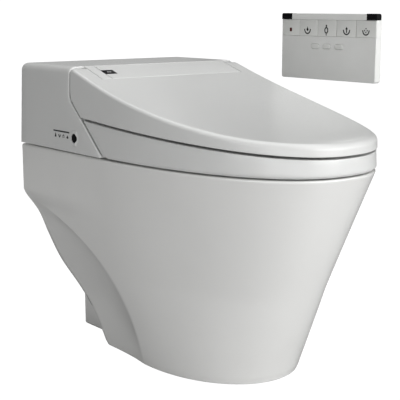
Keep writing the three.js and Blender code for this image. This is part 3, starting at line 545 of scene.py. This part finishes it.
def housing_ring(inset, back):
    """A ring parallel to the housing's front face, set in and moved back. Both grow towards its foot."""
    half = section(inset, PLASTIC_Z + inset)
    growth = 1 + FLARE["extra"] * np.clip((FLARE["below"] - half[:, 1]) / FLARE["over"], 0, 1) ** 1.5
    side = half[:, 0] - inset * (growth - 1)
    return np.stack([side, wing_y(half[:, 1]) + back * growth, half[:, 1]], 1)


def build_housing():
    inner, outer, deep = (GROOVE[k] for k in ("inner", "outer", "deep"))
    groove = [(inner + 0.5, 0), (inner, deep), (outer, deep)]
    rings = [housing_ring(d, e) for d, e in (*groove, *fillet(LIP, 6)[::-1])]
    front, margin = housing_ring(0, 0), 3
    for share in np.linspace(0, 1, 12)[1:-1]:
        ring = front.copy()
        ring[:, 1] = front[:, 1] + margin + (REAR - margin - front[:, 1] - margin) * share
        rings.append(ring)
    for d, e in fillet(2, 4):
        half = section(d, PLASTIC_Z + d)
        rings.append(np.stack([half[:, 0], np.full(len(half), REAR - e), half[:, 1]], 1))
    shell = mirrored_solid("housing_shell", rings, 40)
    half = section(WALL, PLASTIC_Z - 1)
    inner = [np.stack([half[:, 0], wing_y(half[:, 1], -WALL), half[:, 1]], 1),
             np.stack([half[:, 0], np.full(len(half), REAR - WALL), half[:, 1]], 1)]
    side, y, z = (NICHE[k] for k in ("side", "y", "z"))
    join(shell, block("sill", around(0, ARM_INNER), (WING_FACE, WING_FACE + 8), (TOP_Z - 8, TOP_Z)))
    inside = mirrored_solid("inside", inner, 24)
    cut(inside, block("niche_wall", around(0, side + WALL), (0, y + WALL), (PLASTIC_Z - 10, z + WALL)))
    cut(shell, block("niche", around(0, side), (0, y), (PLASTIC_Z - 10, z)), inside)
    for x in (-NOZZLE["x"], NOZZLE["x"]):
        cut(shell, nozzle_bar("nozzle_hole", x, NOZZLE["radius"] + 1.2, -100, 100))
    cut(shell, block("duct_hole", DUCT_HOLE["x"], (y - 5, y + 8), DUCT_HOLE["z"]))
    side_hole = circle(DISH["y"], BUTTON["z"], DISH["radius"] + FIT)
    cut(shell, prism("side_hole", side_hole, "x", *around(-HALF_WIDTH, 15)))
    for x, radius in REAR_HOLES.items():
        cut(shell, prism("rear_hole", circle(x, REAR_HOLE_Z, radius, 40), "y", *around(REAR, 10)))
    smooth(tidy(shell), 28)
    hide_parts("rear_housing")
    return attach(shell, "root")


def nozzle_bar(name, x, radius, start, end):
    """A round bar along the nozzle line. 0 is the tip at rest, and more is further back."""
    c, s = math.cos(NOZZLE["tilt"]), math.sin(NOZZLE["tilt"])
    rings = []
    for along in (start, end):
        y, z = NOZZLE["tip_y"] + along * c, NOZZLE["tip_z"] + along * s
        rings.append([(x + a, y - s * b, z + c * b) for a, b in circle(0, 0, radius, 40)])
    return loft(name, rings)


# -------- seat
def build_seat():
    low, gap = PLASTIC_Z + 2, SEAT_REAR_GAP
    deep, reach = SEAT_DISH["deep"], SEAT_DISH["reach"]
    rings = [plan_ring(lambda y, e=e: np.full(len(y), low + e), SEAT_INSET + d, gap) for d, e in fillet(2, 3)[::-1]]
    for share in (0.2, 0.4, 0.6, 0.8):
        rings.append(plan_ring(lambda y, s=share: low + 2 + (seat_z(y) - 6 - low) * s, SEAT_INSET, gap))
    rings += [plan_ring(lambda y, e=e: seat_z(y) - e, SEAT_INSET + d, gap) for d, e in fillet(1.0, 4)]

    def dished(point, half):
        share = min(1, max(0, (half - abs(point[0])) / reach))
        front = min(1, max(0, (point[1] - NOSE) / reach))
        return point - np.array([0, 0, deep * min(share, front) ** 1.5])

    seat = mirrored_solid("seat_ring", rings, 60, dished)

    def hole_ring(out, z):
        return oval_ring(SEAT_HOLE["side"] + out, SEAT_HOLE["front"] - out, SEAT_HOLE["rear"] + out, z)

    def hole(lip):
        rings = [hole_ring(0, 360)]
        rings += [hole_ring(d, lambda y, e=e: seat_z(y) - deep - e) for d, e in fillet(lip, 8)]
        return loft("seat_hole", [*rings, hole_ring(lip + 3, lambda y: seat_z(y) + 12)])

    def tunnel(grow):
        """The way of the nozzles under the seat's rear."""
        def roof(y):
            return NOZZLE["tip_z"] + (y - NOZZLE["tip_y"]) * math.tan(NOZZLE["tilt"]) + 13 + grow
        line = [(-30, 370), (130, 370), (130, roof(104)), (104, roof(104)), (-30, roof(-30))]
        return prism("tunnel", line, "x", *around(0, 64 + grow))

    inner = [plan_ring(lambda y: np.full(len(y), low - 5), SEAT_INSET + WALL, gap + WALL),
             plan_ring(lambda y: seat_z(y) - WALL - 3.5, SEAT_INSET + WALL, gap + WALL)]
    cavity = cut(mirrored_solid("cavity", inner, 30), tunnel(WALL))
    wall_hole = [(x, y, z) for z in (360, 480) for x, y, _ in oval_ring(
        SEAT_HOLE["side"] + WALL + 12, SEAT_HOLE["front"] - WALL - 12, SEAT_HOLE["rear"] + WALL, 0)]
    half = len(wall_hole) // 2
    cut(cavity, loft("wall_hole", [wall_hole[:half], wall_hole[half:]]))
    cut(seat, hole(9), cavity, tunnel(0))
    y, z = HINGE["y"], HINGE["z"]
    for side in (-1, 1):
        x = sorted(side * v for v in SEAT_ARM)
        web = prism("web", SEAT_WEB, "x", *x)
        boss = prism("boss", circle(y, z, 5.6, 40), "x", *x)
        join(seat, cut(join(web, boss), pin_hole(x[0] - 5, x[1] + 5)))
    smooth(tidy(seat), 32)
    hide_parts("seat_top")
    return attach(seat, "seat")


# -------- lid
def build_lid():
    gap = LID_REAR_GAP

    def under(y, rise):
        return seat_z(y) + LID_GAP + rise

    def rounding(y, which):
        share = np.clip((80 - y) / (80 - NOSE), 0, 1) ** 1.3
        return LID_ROUND["rear"][which] * (1 - share) + LID_ROUND["nose"][which] * share

    rings = [plan_ring(lambda y, e=e: under(y, e), d, gap) for d, e in fillet(0.5, 3)[::-1]]
    for share in (0.15, 0.35, 0.6, 0.85):
        rings.append(plan_ring(lambda y, s=share: under(y, 1) * (1 - s) + (lid_z(y) - rounding(y, 1)) * s, 0, gap))
    for d, e in fillet(1, 14):
        rings.append(plan_ring(lambda y, e=e: lid_z(y) - rounding(y, 1) * e, lambda y, d=d: rounding(y, 0) * d, gap))

    def crowned(point, half):
        share, reach = abs(point[0]) / max(half, 1), LID_CROWN["reach"]
        fade = min(1, max(0, (COVER_FRONT[0] - point[1]) / reach)) * min(1, half / reach)
        return point + np.array([0, 0, LID_CROWN["high"] * fade * (1 - share ** 2)])

    lid = mirrored_solid("lid_skin", rings, 60, crowned)
    inner = [plan_ring(lambda y: np.full(len(y), 395.0), WALL, -4),
             plan_ring(lambda y: lid_z(y) - 14, WALL, -4),
             plan_ring(lambda y: lid_z(y) - WALL - 1, WALL + 9, -4)]
    hollow = mirrored_solid("hollow", inner, 30)
    y, z = HINGE["y"], HINGE["z"]
    inner_x, outer_x = LID_ARM
    core = [(y - 40, 430), (REAR, 430), (REAR, z), (y, z), (y - 40, z - 12)]
    notch = block("notch", around(0, ARM_INNER), (COVER_FRONT[0] - 1.5, REAR), (400, 600))
    cut(lid, hollow, prism("core", core, "x", *around(0, outer_x)), notch)
    for side in (-1, 1):
        boss = prism("boss", circle(y, z, HINGE["barrel"] - 1.5, 40), "x", *sorted((side * inner_x, side * outer_x)))
        join(lid, cut(boss, pin_hole(*sorted((side * (inner_x - 3), side * (outer_x - 5))))))
    smooth(tidy(lid), 30)
    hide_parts("lid_shell")
    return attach(lid, "lid")


# -------- covers over the hinge
COVER_SLOPE = (TOP_Z - COVER_FRONT[1]) / (WING_FACE - COVER_FRONT[0])


def cover_z(y):
    return TOP_Z - FIT - (WING_FACE - y) * COVER_SLOPE


def build_cover(node, x, end):
    """A length of the hinge cover with a soft front edge. It has a wall at one end, -1 or 1."""
    front, low, skin, rear = COVER_FRONT[0], COVER["low"], COVER["skin"], WING_FACE - FIT
    corner = np.array([front, cover_z(front)])
    down, along = corner - (0, 2.4), corner + np.array([1, COVER_SLOPE]) * 2.2
    soft = [(1 - t) ** 2 * down + 2 * t * (1 - t) * corner + t ** 2 * along for t in np.linspace(0, 1, 8)]
    heights = np.linspace(cover_z(rear), low, 26)
    cover = prism(f"{node}_skin", [(front, low), *map(tuple, soft), *zip(wing_y(heights, FIT), heights)], "x", *x)
    hollow = [(front + skin, low + skin), (REAR, low + skin), (REAR, cover_z(REAR) - skin),
              (front + skin, cover_z(front + skin) - skin)]
    reach = (x[0] + skin, x[1] + skin) if end < 0 else (x[0] - skin, x[1] - skin)
    cut(cover, prism("hollow", hollow, "x", *reach), pin_hole(*around(end * ARM_INNER, 10)))
    if end > 0:
        (near, far), deep = DISPLAY["y"], DISPLAY["deep"]
        window = [(near, cover_z(near) - deep), (far, cover_z(far) - deep), (far, TOP_Z + 5), (near, TOP_Z + 5)]
        cut(cover, prism("window", window, "x", *DISPLAY["x"]))
    smooth(bevel(tidy(cover), 0.3, 2, 40), 30)
    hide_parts(node)
    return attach(cover, "root")


# -------- side control
def side_x(z):
    return draft(z) - HALF_WIDTH


def build_dish():
    """The round dish about the side button. Its floor slopes in towards the front, to reach the button from there."""
    y, z, radius = DISH["y"], BUTTON["z"], DISH["radius"]
    (low, high), face = around(z, 20), side_x(BUTTON["z"])
    dish = prism("button_dish", circle(y, z, radius, 96), "x", face - 5, face + 12)
    outside = face - 9
    skin = [(outside, low), (side_x(low), low), (side_x(high), high), (outside, high)]
    skin = prism("skin", skin, "y", *around(y, 20))
    start, deep = DISH["floor_from"], 20 * DISH["slope"]
    scoop = [(outside, start), (face, start), (face + deep, start - 20), (outside, start - 20)]
    scoop = prism("scoop", scoop, "z", low, high)
    cut(dish, skin, scoop, prism("hole", circle(BUTTON["y"], z, BUTTON["radius"] + FIT, 72), "x", *around(face, 20)))
    smooth(bevel(tidy(dish), 0.2, 2, 40), 30)
    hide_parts("side_bezel")
    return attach(dish, "root")


def printed(name, outlines, place, face, body, proud=0.1):
    """Flat marks on a face that looks towards -X, about a place (y, z). u runs to the viewer's right."""
    moved = [[(place[0] - u, place[1] + v) for u, v in outline] for outline in outlines]
    mark = prisms(name, moved, "x", face - proud, face + 0.4)
    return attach(mark, body)


def arc(centre, size, start, end, steps=20):
    turns = np.radians(np.linspace(start, end, steps))
    return [(centre[0] + size[0] * math.cos(t), centre[1] + size[1] * math.sin(t)) for t in turns]


def drop_shape(u, v, size):
    """A water drop: round below, pointed above."""
    return [*arc((u, v), (size, size), 150, 390), (u, v + 2.3 * size)]


def build_side_marks():
    """Four small generic signs and a plain line. They stand for the printed marks by the side button."""
    z = BUTTON["z"] - 0.5
    ring = stroke(arc((0, 0), (2.2, 3.6), 0, 360, 40), 1.7)
    signs = {
        "drop": (215, [drop_shape(0, -0.9, 3.0)]),
        "chevron": (201, [stroke([(-3.3, 3.2), (-1.6, 0), (0, -2.6), (1.6, 0), (3.3, 3.2)], 2.5)]),
        "ring": (187, [ring]),
        "diamond": (173, [[(-3.8, 0), (0, -3.8), (3.8, 0), (0, 3.8)]]),
    }
    marks = [printed(f"side_mark_{name}", shapes, (y, z), side_x(z), "root") for name, (y, shapes) in signs.items()]
    line, line_z = stroke([(-28, 0), (0, 0), (28, 0)], 2.7), z + 9.5
    return [*marks, printed("side_line", [line], (195, line_z), side_x(line_z), "root")]


def build_display_mark():
    """Two small plain squares on the display window."""
    near, far = 139.5, 143.0
    square = [(y, cover_z(y) + up) for y, up in ((near, -0.5), (far, -0.5), (far, 0.06), (near, 0.06))]
    marks = [prism("display_mark", square, "x", x, x + 3.2) for x in (-134.2, -129.2)]
    for mark in marks:
        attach(mark, "root")
    return marks


# -------- remote control
def remote_outline(x, inset, corner=REMOTE["corner"]):
    """The remote's outline at a depth x, set in."""
    long, high = REMOTE["long"] / 2 - inset, REMOTE["high"] / 2 - inset
    outline = rounded_rect(around(REMOTE["y"], long), around(REMOTE["z"], high), corner)
    return [(x, y, z) for y, z in outline]


def key_span(index):
    """A key's reach in y and z."""
    pitch = REMOTE["long"] / KEYS["count"]
    middle = REMOTE["y"] + REMOTE["long"] / 2 - pitch * (index + 0.5)
    return around(middle, pitch / 2 - 0.5), (REMOTE["z"] + KEYS["low"], REMOTE["z"] + KEYS["high"])


def build_remote():
    x, y, z, half = REMOTE["x"], REMOTE["y"], REMOTE["z"], REMOTE["long"] / 2
    through_all = (x - 1, x + REMOTE_DEPTH)
    edge = [remote_outline(x + e, d, REMOTE["corner"] - d / 2) for d, e in fillet(1.8, 5)]
    shell = loft("remote_shell", [remote_outline(x + REMOTE["body"], 0), *edge])
    (near, _), (low, high) = key_span(KEYS["count"] - 1)
    far = key_span(0)[0][1]
    cut(shell, block("bay", (x - 1, x + 5), (near - FIT, far + FIT), (low - FIT, high + FIT)))
    for middle in CAPSULES.values():
        tall = around(z + CAPSULE["up"], CAPSULE["half_high"] + FIT)
        hole = rounded_rect(around(middle, CAPSULE_HALF + FIT), tall, 4.7)
        cut(shell, prism("hole", hole, "x", x - 1, x + 4))
    low = z + CAPS["low"] - FIT
    for span in ((y + half - CAPS["left"] - FIT, y + half + 2), (y - half - 2, y - half + CAPS["right"] + FIT)):
        core = loft("core", [remote_outline(x + 20, 2 + FIT), remote_outline(x + 2 + FIT, 2 + FIT)])
        cut(shell, cut(block("corner", (x - 2, x + REMOTE_DEPTH), span, (low, z + 70)), core))
    cut(shell, block("room", (x + 7, x + REMOTE_DEPTH), around(y, half - 8), (z - 58, z + 12)))
    groove = z + KEYS["low"]
    cut(shell, block("groove", through_all, (y - half - 2, y - half + 0.6), (groove - 0.6, groove)))
    smooth(bevel(tidy(shell), 0.3, 2, 40), 30)
    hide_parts("remote_body")
    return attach(shell, "remote")


def build_capsule(use, middle):
    """A soft pillow of a button, proud of the remote's face."""
    x, z = REMOTE["x"], REMOTE["z"] + CAPSULE["up"]
    half, proud, rise, reach = (CAPSULE[k] for k in ("half_high", "proud", "rise", "pillow"))

    def ring(at, inset):
        outline = rounded_rect(around(middle, CAPSULE_HALF - inset), around(z, half - inset), 4.6 - inset)
        return [(at, a, b) for a, b in outline]

    rings = [ring(x + 2, 0), *(ring(x - proud + rise * e, reach * d) for d, e in fillet(1, 8))]
    pillow = loft(f"remote_pillow_{use}", rings)
    smooth(pillow, 50)
    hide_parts(f"remote_button_{use}")
    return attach(pillow, f"button_{use}")


def build_remote_marks():
    """A lamp window and four generic wash and air signs on the keys."""
    face, z, line = REMOTE["x"] + 0.1, REMOTE["z"] + 33.2, 2.7
    cup = stroke([(-8.5, 1.5), *arc((0, 1), (8, 8.5), 190, 350, 24), (8.5, 1.5)], line)
    oval = stroke(arc((0, -0.5), (4.0, 5.4), 0, 360, 40), line)
    arrow = [stroke([(0, -4.5), (0, 0), (0, 3)], line), [(-3.6, 2.4), (3.6, 2.4), (0, 7.6)]]
    dots = [circle(u, v, 1.5, 20) for u, v in ((-3.4, 1.0), (0, 4.6), (3.4, 1.0), (0, -2.4))]
    signs = {
        "rear_wash": (59.4, [cup, drop_shape(0, 0.2, 2.8)]),
        "front_wash": (6.6, [oval, circle(0, 8.4, 2.1, 24), drop_shape(0, -9.4, 1.3)]),
        "turbo_wash": (-47.9, [cup, *arrow]),
        "dryer": (-98.1, [cup, *dots]),
    }
    marks = [printed(f"key_sign_{use}", outlines, (y, z), face, f"key_{use}") for use, (y, outlines) in signs.items()]
    window = rounded_rect((-3.1, 3.1), (-3.8, 3.8), 0.8)
    return marks, printed("key_lamp", [window], (107.8, z - 0.5), face, "key_stop", 0.25)


# -------- materials
def noise(tree, scale, detail=3.0, stretch=(1, 1, 1)):
    """A noise value from the object's own coordinates."""
    nodes, links = tree.nodes, tree.links
    place = nodes.new("ShaderNodeTexCoord")
    mapping = nodes.new("ShaderNodeMapping")
    mapping.inputs["Scale"].default_value = stretch
    texture = nodes.new("ShaderNodeTexNoise")
    texture.inputs["Scale"].default_value = scale
    texture.inputs["Detail"].default_value = detail
    links.new(place.outputs["Object"], mapping.inputs["Vector"])
    links.new(mapping.outputs["Vector"], texture.inputs["Vector"])
    return texture.outputs["Fac"]


def spread(tree, value, low, high):
    """Maps the middle of a noise value's range to low..high."""
    node = tree.nodes.new("ShaderNodeMapRange")
    node.inputs["From Min"].default_value = 0.3
    node.inputs["From Max"].default_value = 0.7
    node.inputs["To Min"].default_value = low
    node.inputs["To Max"].default_value = high
    tree.links.new(value, node.inputs["Value"])
    return node.outputs["Result"]


def tinted(tree, value, first, second):
    """A colour that wanders between two near shades."""
    ramp = tree.nodes.new("ShaderNodeValToRGB")
    for stop, place, colour in zip(ramp.color_ramp.elements, (0.35, 0.65), (first, second)):
        stop.position = place
        stop.color = (*colour, 1)
    tree.links.new(value, ramp.inputs["Fac"])
    return ramp.outputs["Color"]


def surface(name, first, second, rough, patch=9.0, grain=900.0, bump=0.02, depth=0.0001,
            metallic=0.0, coat=0.0, coat_rough=0.05, stretch=(1, 1, 1), specular=0.5):
    """A finish with slow colour changes, uneven roughness and fine relief.

    first and second are its two shades, rough its lowest and highest roughness, patch the scale of
    the slow changes, grain the scale of the relief and depth the relief's height in metres.
    """
    material = bpy.data.materials.new(name)
    material.use_nodes = True
    tree = material.node_tree
    shader = tree.nodes["Principled BSDF"]
    slow = noise(tree, patch, 4)
    fine = noise(tree, grain, 2, stretch)
    tree.links.new(tinted(tree, slow, first, second), shader.inputs["Base Color"])
    tree.links.new(spread(tree, fine, *rough), shader.inputs["Roughness"])
    relief = tree.nodes.new("ShaderNodeBump")
    relief.inputs["Strength"].default_value = bump
    relief.inputs["Distance"].default_value = depth
    tree.links.new(fine, relief.inputs["Height"])
    tree.links.new(relief.outputs["Normal"], shader.inputs["Normal"])
    shader.inputs["Metallic"].default_value = metallic
    shader.inputs["Coat Weight"].default_value = coat
    shader.inputs["Coat Roughness"].default_value = coat_rough
    shader.inputs["Specular IOR Level"].default_value = specular
    return material


def glaze():
    """Glassy white over fired clay: slow waves in the surface and a clear coat."""
    return surface("glaze", (0.80, 0.80, 0.785), (0.83, 0.83, 0.815), (0.20, 0.26), patch=5, grain=26,
                   bump=0.12, depth=0.0006, coat=0.7, coat_rough=0.06)


def white_plastic():
    return surface("white_plastic", (0.695, 0.70, 0.69), (0.715, 0.72, 0.71), (0.26, 0.34), patch=6, grain=1500,
                   bump=0.05, depth=0.00004, coat=0.2, coat_rough=0.14)


def pale_plastic():
    return surface("pale_plastic", (0.74, 0.745, 0.73), (0.77, 0.775, 0.76), (0.42, 0.52), patch=12, grain=2400,
                   bump=0.18, depth=0.00005)


def key_plastic():
    return surface("key_plastic", (0.70, 0.705, 0.685), (0.73, 0.735, 0.715), (0.36, 0.46), patch=14, grain=2400,
                   bump=0.12, depth=0.00004)


def black_gloss():
    return surface("black_gloss", (0.006, 0.006, 0.007), (0.010, 0.010, 0.011), (0.24, 0.34), patch=30, grain=1800,
                   bump=0.04, depth=0.00003, specular=0.05)


def ink():
    return surface("ink", (0.012, 0.012, 0.013), (0.03, 0.03, 0.03), (0.45, 0.6), patch=300, grain=3000,
                   bump=0.2, depth=0.00004)


def faint_ink():
    return surface("faint_ink", (0.45, 0.45, 0.45), (0.55, 0.55, 0.55), (0.45, 0.6), patch=300, grain=3000,
                   bump=0.2, depth=0.00004)


def rubber():
    return surface("rubber", (0.055, 0.056, 0.058), (0.10, 0.10, 0.105), (0.65, 0.9), patch=40, grain=700,
                   bump=0.35, depth=0.0002, specular=0.3)


def steel():
    return surface("steel", (0.50, 0.51, 0.53), (0.66, 0.67, 0.69), (0.22, 0.42), patch=30, grain=260,
                   bump=0.08, depth=0.00005, metallic=1, stretch=(1, 14, 1))


def grey_plastic():
    return surface("grey_plastic", (0.15, 0.155, 0.16), (0.20, 0.205, 0.21), (0.5, 0.65), patch=20, grain=1600,
                   bump=0.25, depth=0.00006)


def foil():
    return surface("foil", (0.60, 0.60, 0.61), (0.75, 0.75, 0.76), (0.2, 0.5), patch=50, grain=320,
                   bump=0.4, depth=0.0004, metallic=1)


def lamp_red():
    """The small lamp window: dark red."""
    return surface("lamp_red", (0.035, 0.002, 0.002), (0.10, 0.004, 0.004), (0.3, 0.4), patch=600, grain=900,
                   bump=0.05, depth=0.00003, specular=0.1)


def board():
    """A green circuit board with a procedural pattern of tracks."""
    material = surface("board", (0.01, 0.09, 0.035), (0.02, 0.14, 0.06), (0.3, 0.45), patch=60, grain=500,
                       bump=0.2, depth=0.0001, coat=0.3)
    tree = material.node_tree
    shader = tree.nodes["Principled BSDF"]
    place = tree.nodes.new("ShaderNodeTexCoord")
    tracks = tree.nodes.new("ShaderNodeTexBrick")
    tracks.inputs["Scale"].default_value = 60
    tracks.inputs["Mortar Size"].default_value = 0.03
    tracks.inputs["Color1"].default_value = (0.01, 0.10, 0.04, 1)
    tracks.inputs["Color2"].default_value = (0.015, 0.13, 0.055, 1)
    tracks.inputs["Mortar"].default_value = (0.16, 0.20, 0.06, 1)
    tree.links.new(place.outputs["Object"], tracks.inputs["Vector"])
    tree.links.new(tracks.outputs["Color"], shader.inputs["Base Color"])
    return material


FINISHES = {make_one.__name__: make_one() for make_one in (
    glaze, white_plastic, pale_plastic, key_plastic, black_gloss, ink, faint_ink,
    rubber, steel, grey_plastic, foil, lamp_red, board)}


def dress(piece, finish):
    """Gives a piece one finish."""
    piece.data.materials.clear()
    piece.data.materials.append(FINISHES[finish])
    return piece


# -------- camera, light and floor
CAMERA = {"place": (-1.17411, -1.42001, 0.65258), "azimuth": -38.89, "down": 10.91, "lens": 90.68, "sensor": 36.0}
PAPER_WHITE = 1.08       # just over 1, so that the backdrop shows as plain white
FLOOR_SHARE = 0.97       # how much of that white covers the floor
LIGHTS = {               # place, aim, size and power
    "right": ((2.3, -3.4, 1.5), (0, -0.1, 0.3), (3.0, 2.4), 51),
    "front": ((0.6, -4.2, 1.4), (0, -0.1, 0.3), (3.0, 2.4), 95),
    "left": ((-3.8, -1.4, 1.4), (0, -0.1, 0.3), (3.0, 2.4), 50),
    "top": ((0.4, 0.6, 3.4), (0, 0, 0.5), (3.0, 3.0), 48),
    "top_front": ((0.2, -2.2, 3.2), (0, 0, 0.4), (3.0, 2.4), 34),
    "low_left": ((-2.6, -2.8, 0.0), (0, -0.1, 0.2), (3.0, 1.0), 27),
    "rear": ((1.5, 4.0, 2.0), (0, 0, 0.4), (3.0, 2.4), 8),
}


def build_camera():
    turn, down = math.radians(CAMERA["azimuth"]), math.radians(CAMERA["down"])
    ahead = Vector((-math.sin(turn) * math.cos(down), math.cos(turn) * math.cos(down), -math.sin(down)))
    data = bpy.data.cameras.new("camera")
    data.lens = CAMERA["lens"]
    data.sensor_width = CAMERA["sensor"]
    camera = bpy.data.objects.new("camera", data)
    camera.location = CAMERA["place"]
    camera.rotation_euler = ahead.to_track_quat("-Z", "Y").to_euler()
    bpy.context.scene.collection.objects.link(camera)
    bpy.context.scene.camera = camera


def area_light(name, place, aim, size, power):
    data = bpy.data.lights.new(name, "AREA")
    data.shape = "RECTANGLE"
    data.size, data.size_y = size
    data.energy = power
    lamp = bpy.data.objects.new(name, data)
    lamp.location = place
    lamp.rotation_euler = (Vector(aim) - Vector(place)).to_track_quat("-Z", "Y").to_euler()
    bpy.context.scene.collection.objects.link(lamp)


def seen_white(tree, lit, share):
    """The camera sees mostly plain white here, and everything else sees the lit shader."""
    white = tree.nodes.new("ShaderNodeEmission")
    white.inputs["Color"].default_value = (1, 1, 1, 1)
    white.inputs["Strength"].default_value = PAPER_WHITE
    path = tree.nodes.new("ShaderNodeLightPath")
    weight = tree.nodes.new("ShaderNodeMath")
    weight.operation = "MULTIPLY"
    weight.inputs[1].default_value = share
    mix = tree.nodes.new("ShaderNodeMixShader")
    tree.links.new(path.outputs["Is Camera Ray"], weight.inputs[0])
    tree.links.new(weight.outputs[0], mix.inputs[0])
    tree.links.new(lit, mix.inputs[1])
    tree.links.new(white.outputs[0], mix.inputs[2])
    return mix.outputs[0]


def build_world(strength):
    """Even studio light all round, in front of a plain white backdrop."""
    world = bpy.data.worlds.new("studio")
    bpy.context.scene.world = world
    world.use_nodes = True
    tree = world.node_tree
    fill = tree.nodes["Background"]
    fill.inputs["Color"].default_value = (0.99, 0.995, 0.98, 1)
    fill.inputs["Strength"].default_value = strength
    tree.links.new(seen_white(tree, fill.outputs[0], 1.0), tree.nodes["World Output"].inputs["Surface"])


def build_floor():
    half, drop = 9000, 0.5
    corners = [(a * half, b * half, -drop) for a, b in ((-1, -1), (1, -1), (1, 1), (-1, 1))]
    floor = make("floor", corners, [(0, 1, 2, 3)])
    material = bpy.data.materials.new("floor_white")
    material.use_nodes = True
    tree = material.node_tree
    shader = tree.nodes["Principled BSDF"]
    shader.inputs["Base Color"].default_value = (0.42, 0.42, 0.42, 1)
    shader.inputs["Roughness"].default_value = 0.9
    shader.inputs["Specular IOR Level"].default_value = 0.1
    tree.links.new(seen_white(tree, shader.outputs[0], FLOOR_SHARE), tree.nodes["Material Output"].inputs["Surface"])
    floor.data.materials.append(material)


def build_studio():
    bpy.context.scene.view_settings.view_transform = "Standard"
    build_camera()
    build_world(0.03)
    build_floor()
    for name, light in LIGHTS.items():
        area_light(name, *light)


# -------- frame nodes that stay
KEPT = {
    "steel": ["floor_bracket", "mounting_plate", "mounting_bolt_left", "mounting_bolt_right", "hinge_pin_left",
              "hinge_pin_right", "nozzle_rear_wash", "nozzle_front_wash", "inlet_connector"],
    "foil": ["seat_heater"],
    "rubber": ["outlet_connector", "mounting_nut_left", "mounting_nut_right", "cord_gland",
               "seat_bumper_front_left", "seat_bumper_front_right", "seat_bumper_rear_left",
               "seat_bumper_rear_right", "lid_bumper_left", "lid_bumper_right"],
    "white_plastic": ["seat_bottom", "lid_liner"],
    "black_gloss": ["display_window", "side_button", "remote_cap_left", "remote_cap_right"],
    "pale_plastic": ["flush_valve", "base_tray", "water_tank", "deodorizer_filter", "dryer_fan_rotor",
                     "remote_back_cover", "remote_wall_holder"],
    "key_plastic": ["remote_key_stop", "remote_key_rear_wash", "remote_key_front_wash", "remote_key_turbo_wash",
                    "remote_key_dryer"],
    "grey_plastic": ["hinge_damper_left", "hinge_damper_right", "nozzle_guide", "nozzle_motor", "water_heater",
                     "water_pump", "inlet_valve", "dryer_fan_housing", "dryer_duct"],
    "board": ["control_board", "power_board"],
}
EDGE = {"remote_back_cover": 0.8, "display_window": 0.3, "remote_wall_holder": 2.0, "seat_bottom": 0.8,
        "lid_liner": 0.8, "flush_valve": 3.0}          # the round of a node's edges where it isn't PLAIN_EDGE
PLAIN_EDGE = 0.5
KEY_EDGE = 0.8


def dress_frame():
    """Frame nodes get rounded edges and their finish. Their own meshes stay as they are."""
    for finish, names in KEPT.items():
        for name in names:
            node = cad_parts[name]
            dress(node, finish)
            node.data.polygons.foreach_set("use_smooth", [True] * len(node.data.polygons))
            weld = node.modifiers.new("weld", "WELD")
            weld.merge_threshold = 0.00001
            bevel(node, KEY_EDGE if finish == "key_plastic" else EDGE.get(name, PLAIN_EDGE), 3, 32)


# -------- all of it
build_studio()
dress(build_pan(), "glaze")
for piece in (build_housing(), build_seat(), build_lid(), build_cover("center_cover", COVER["centre"], 1),
              build_cover("hinge_end_cap", COVER["end_cap"], -1), build_dish()):
    dress(piece, "white_plastic")
for sign in build_side_marks():
    dress(sign, "ink")
for sign in build_display_mark():
    dress(sign, "faint_ink")
dress(build_remote(), "pale_plastic")
for use, middle in CAPSULES.items():
    dress(build_capsule(use, middle), "key_plastic")
signs, lamp = build_remote_marks()
for sign in signs:
    dress(sign, "ink")
dress(lamp, "lamp_red")
dress_frame()
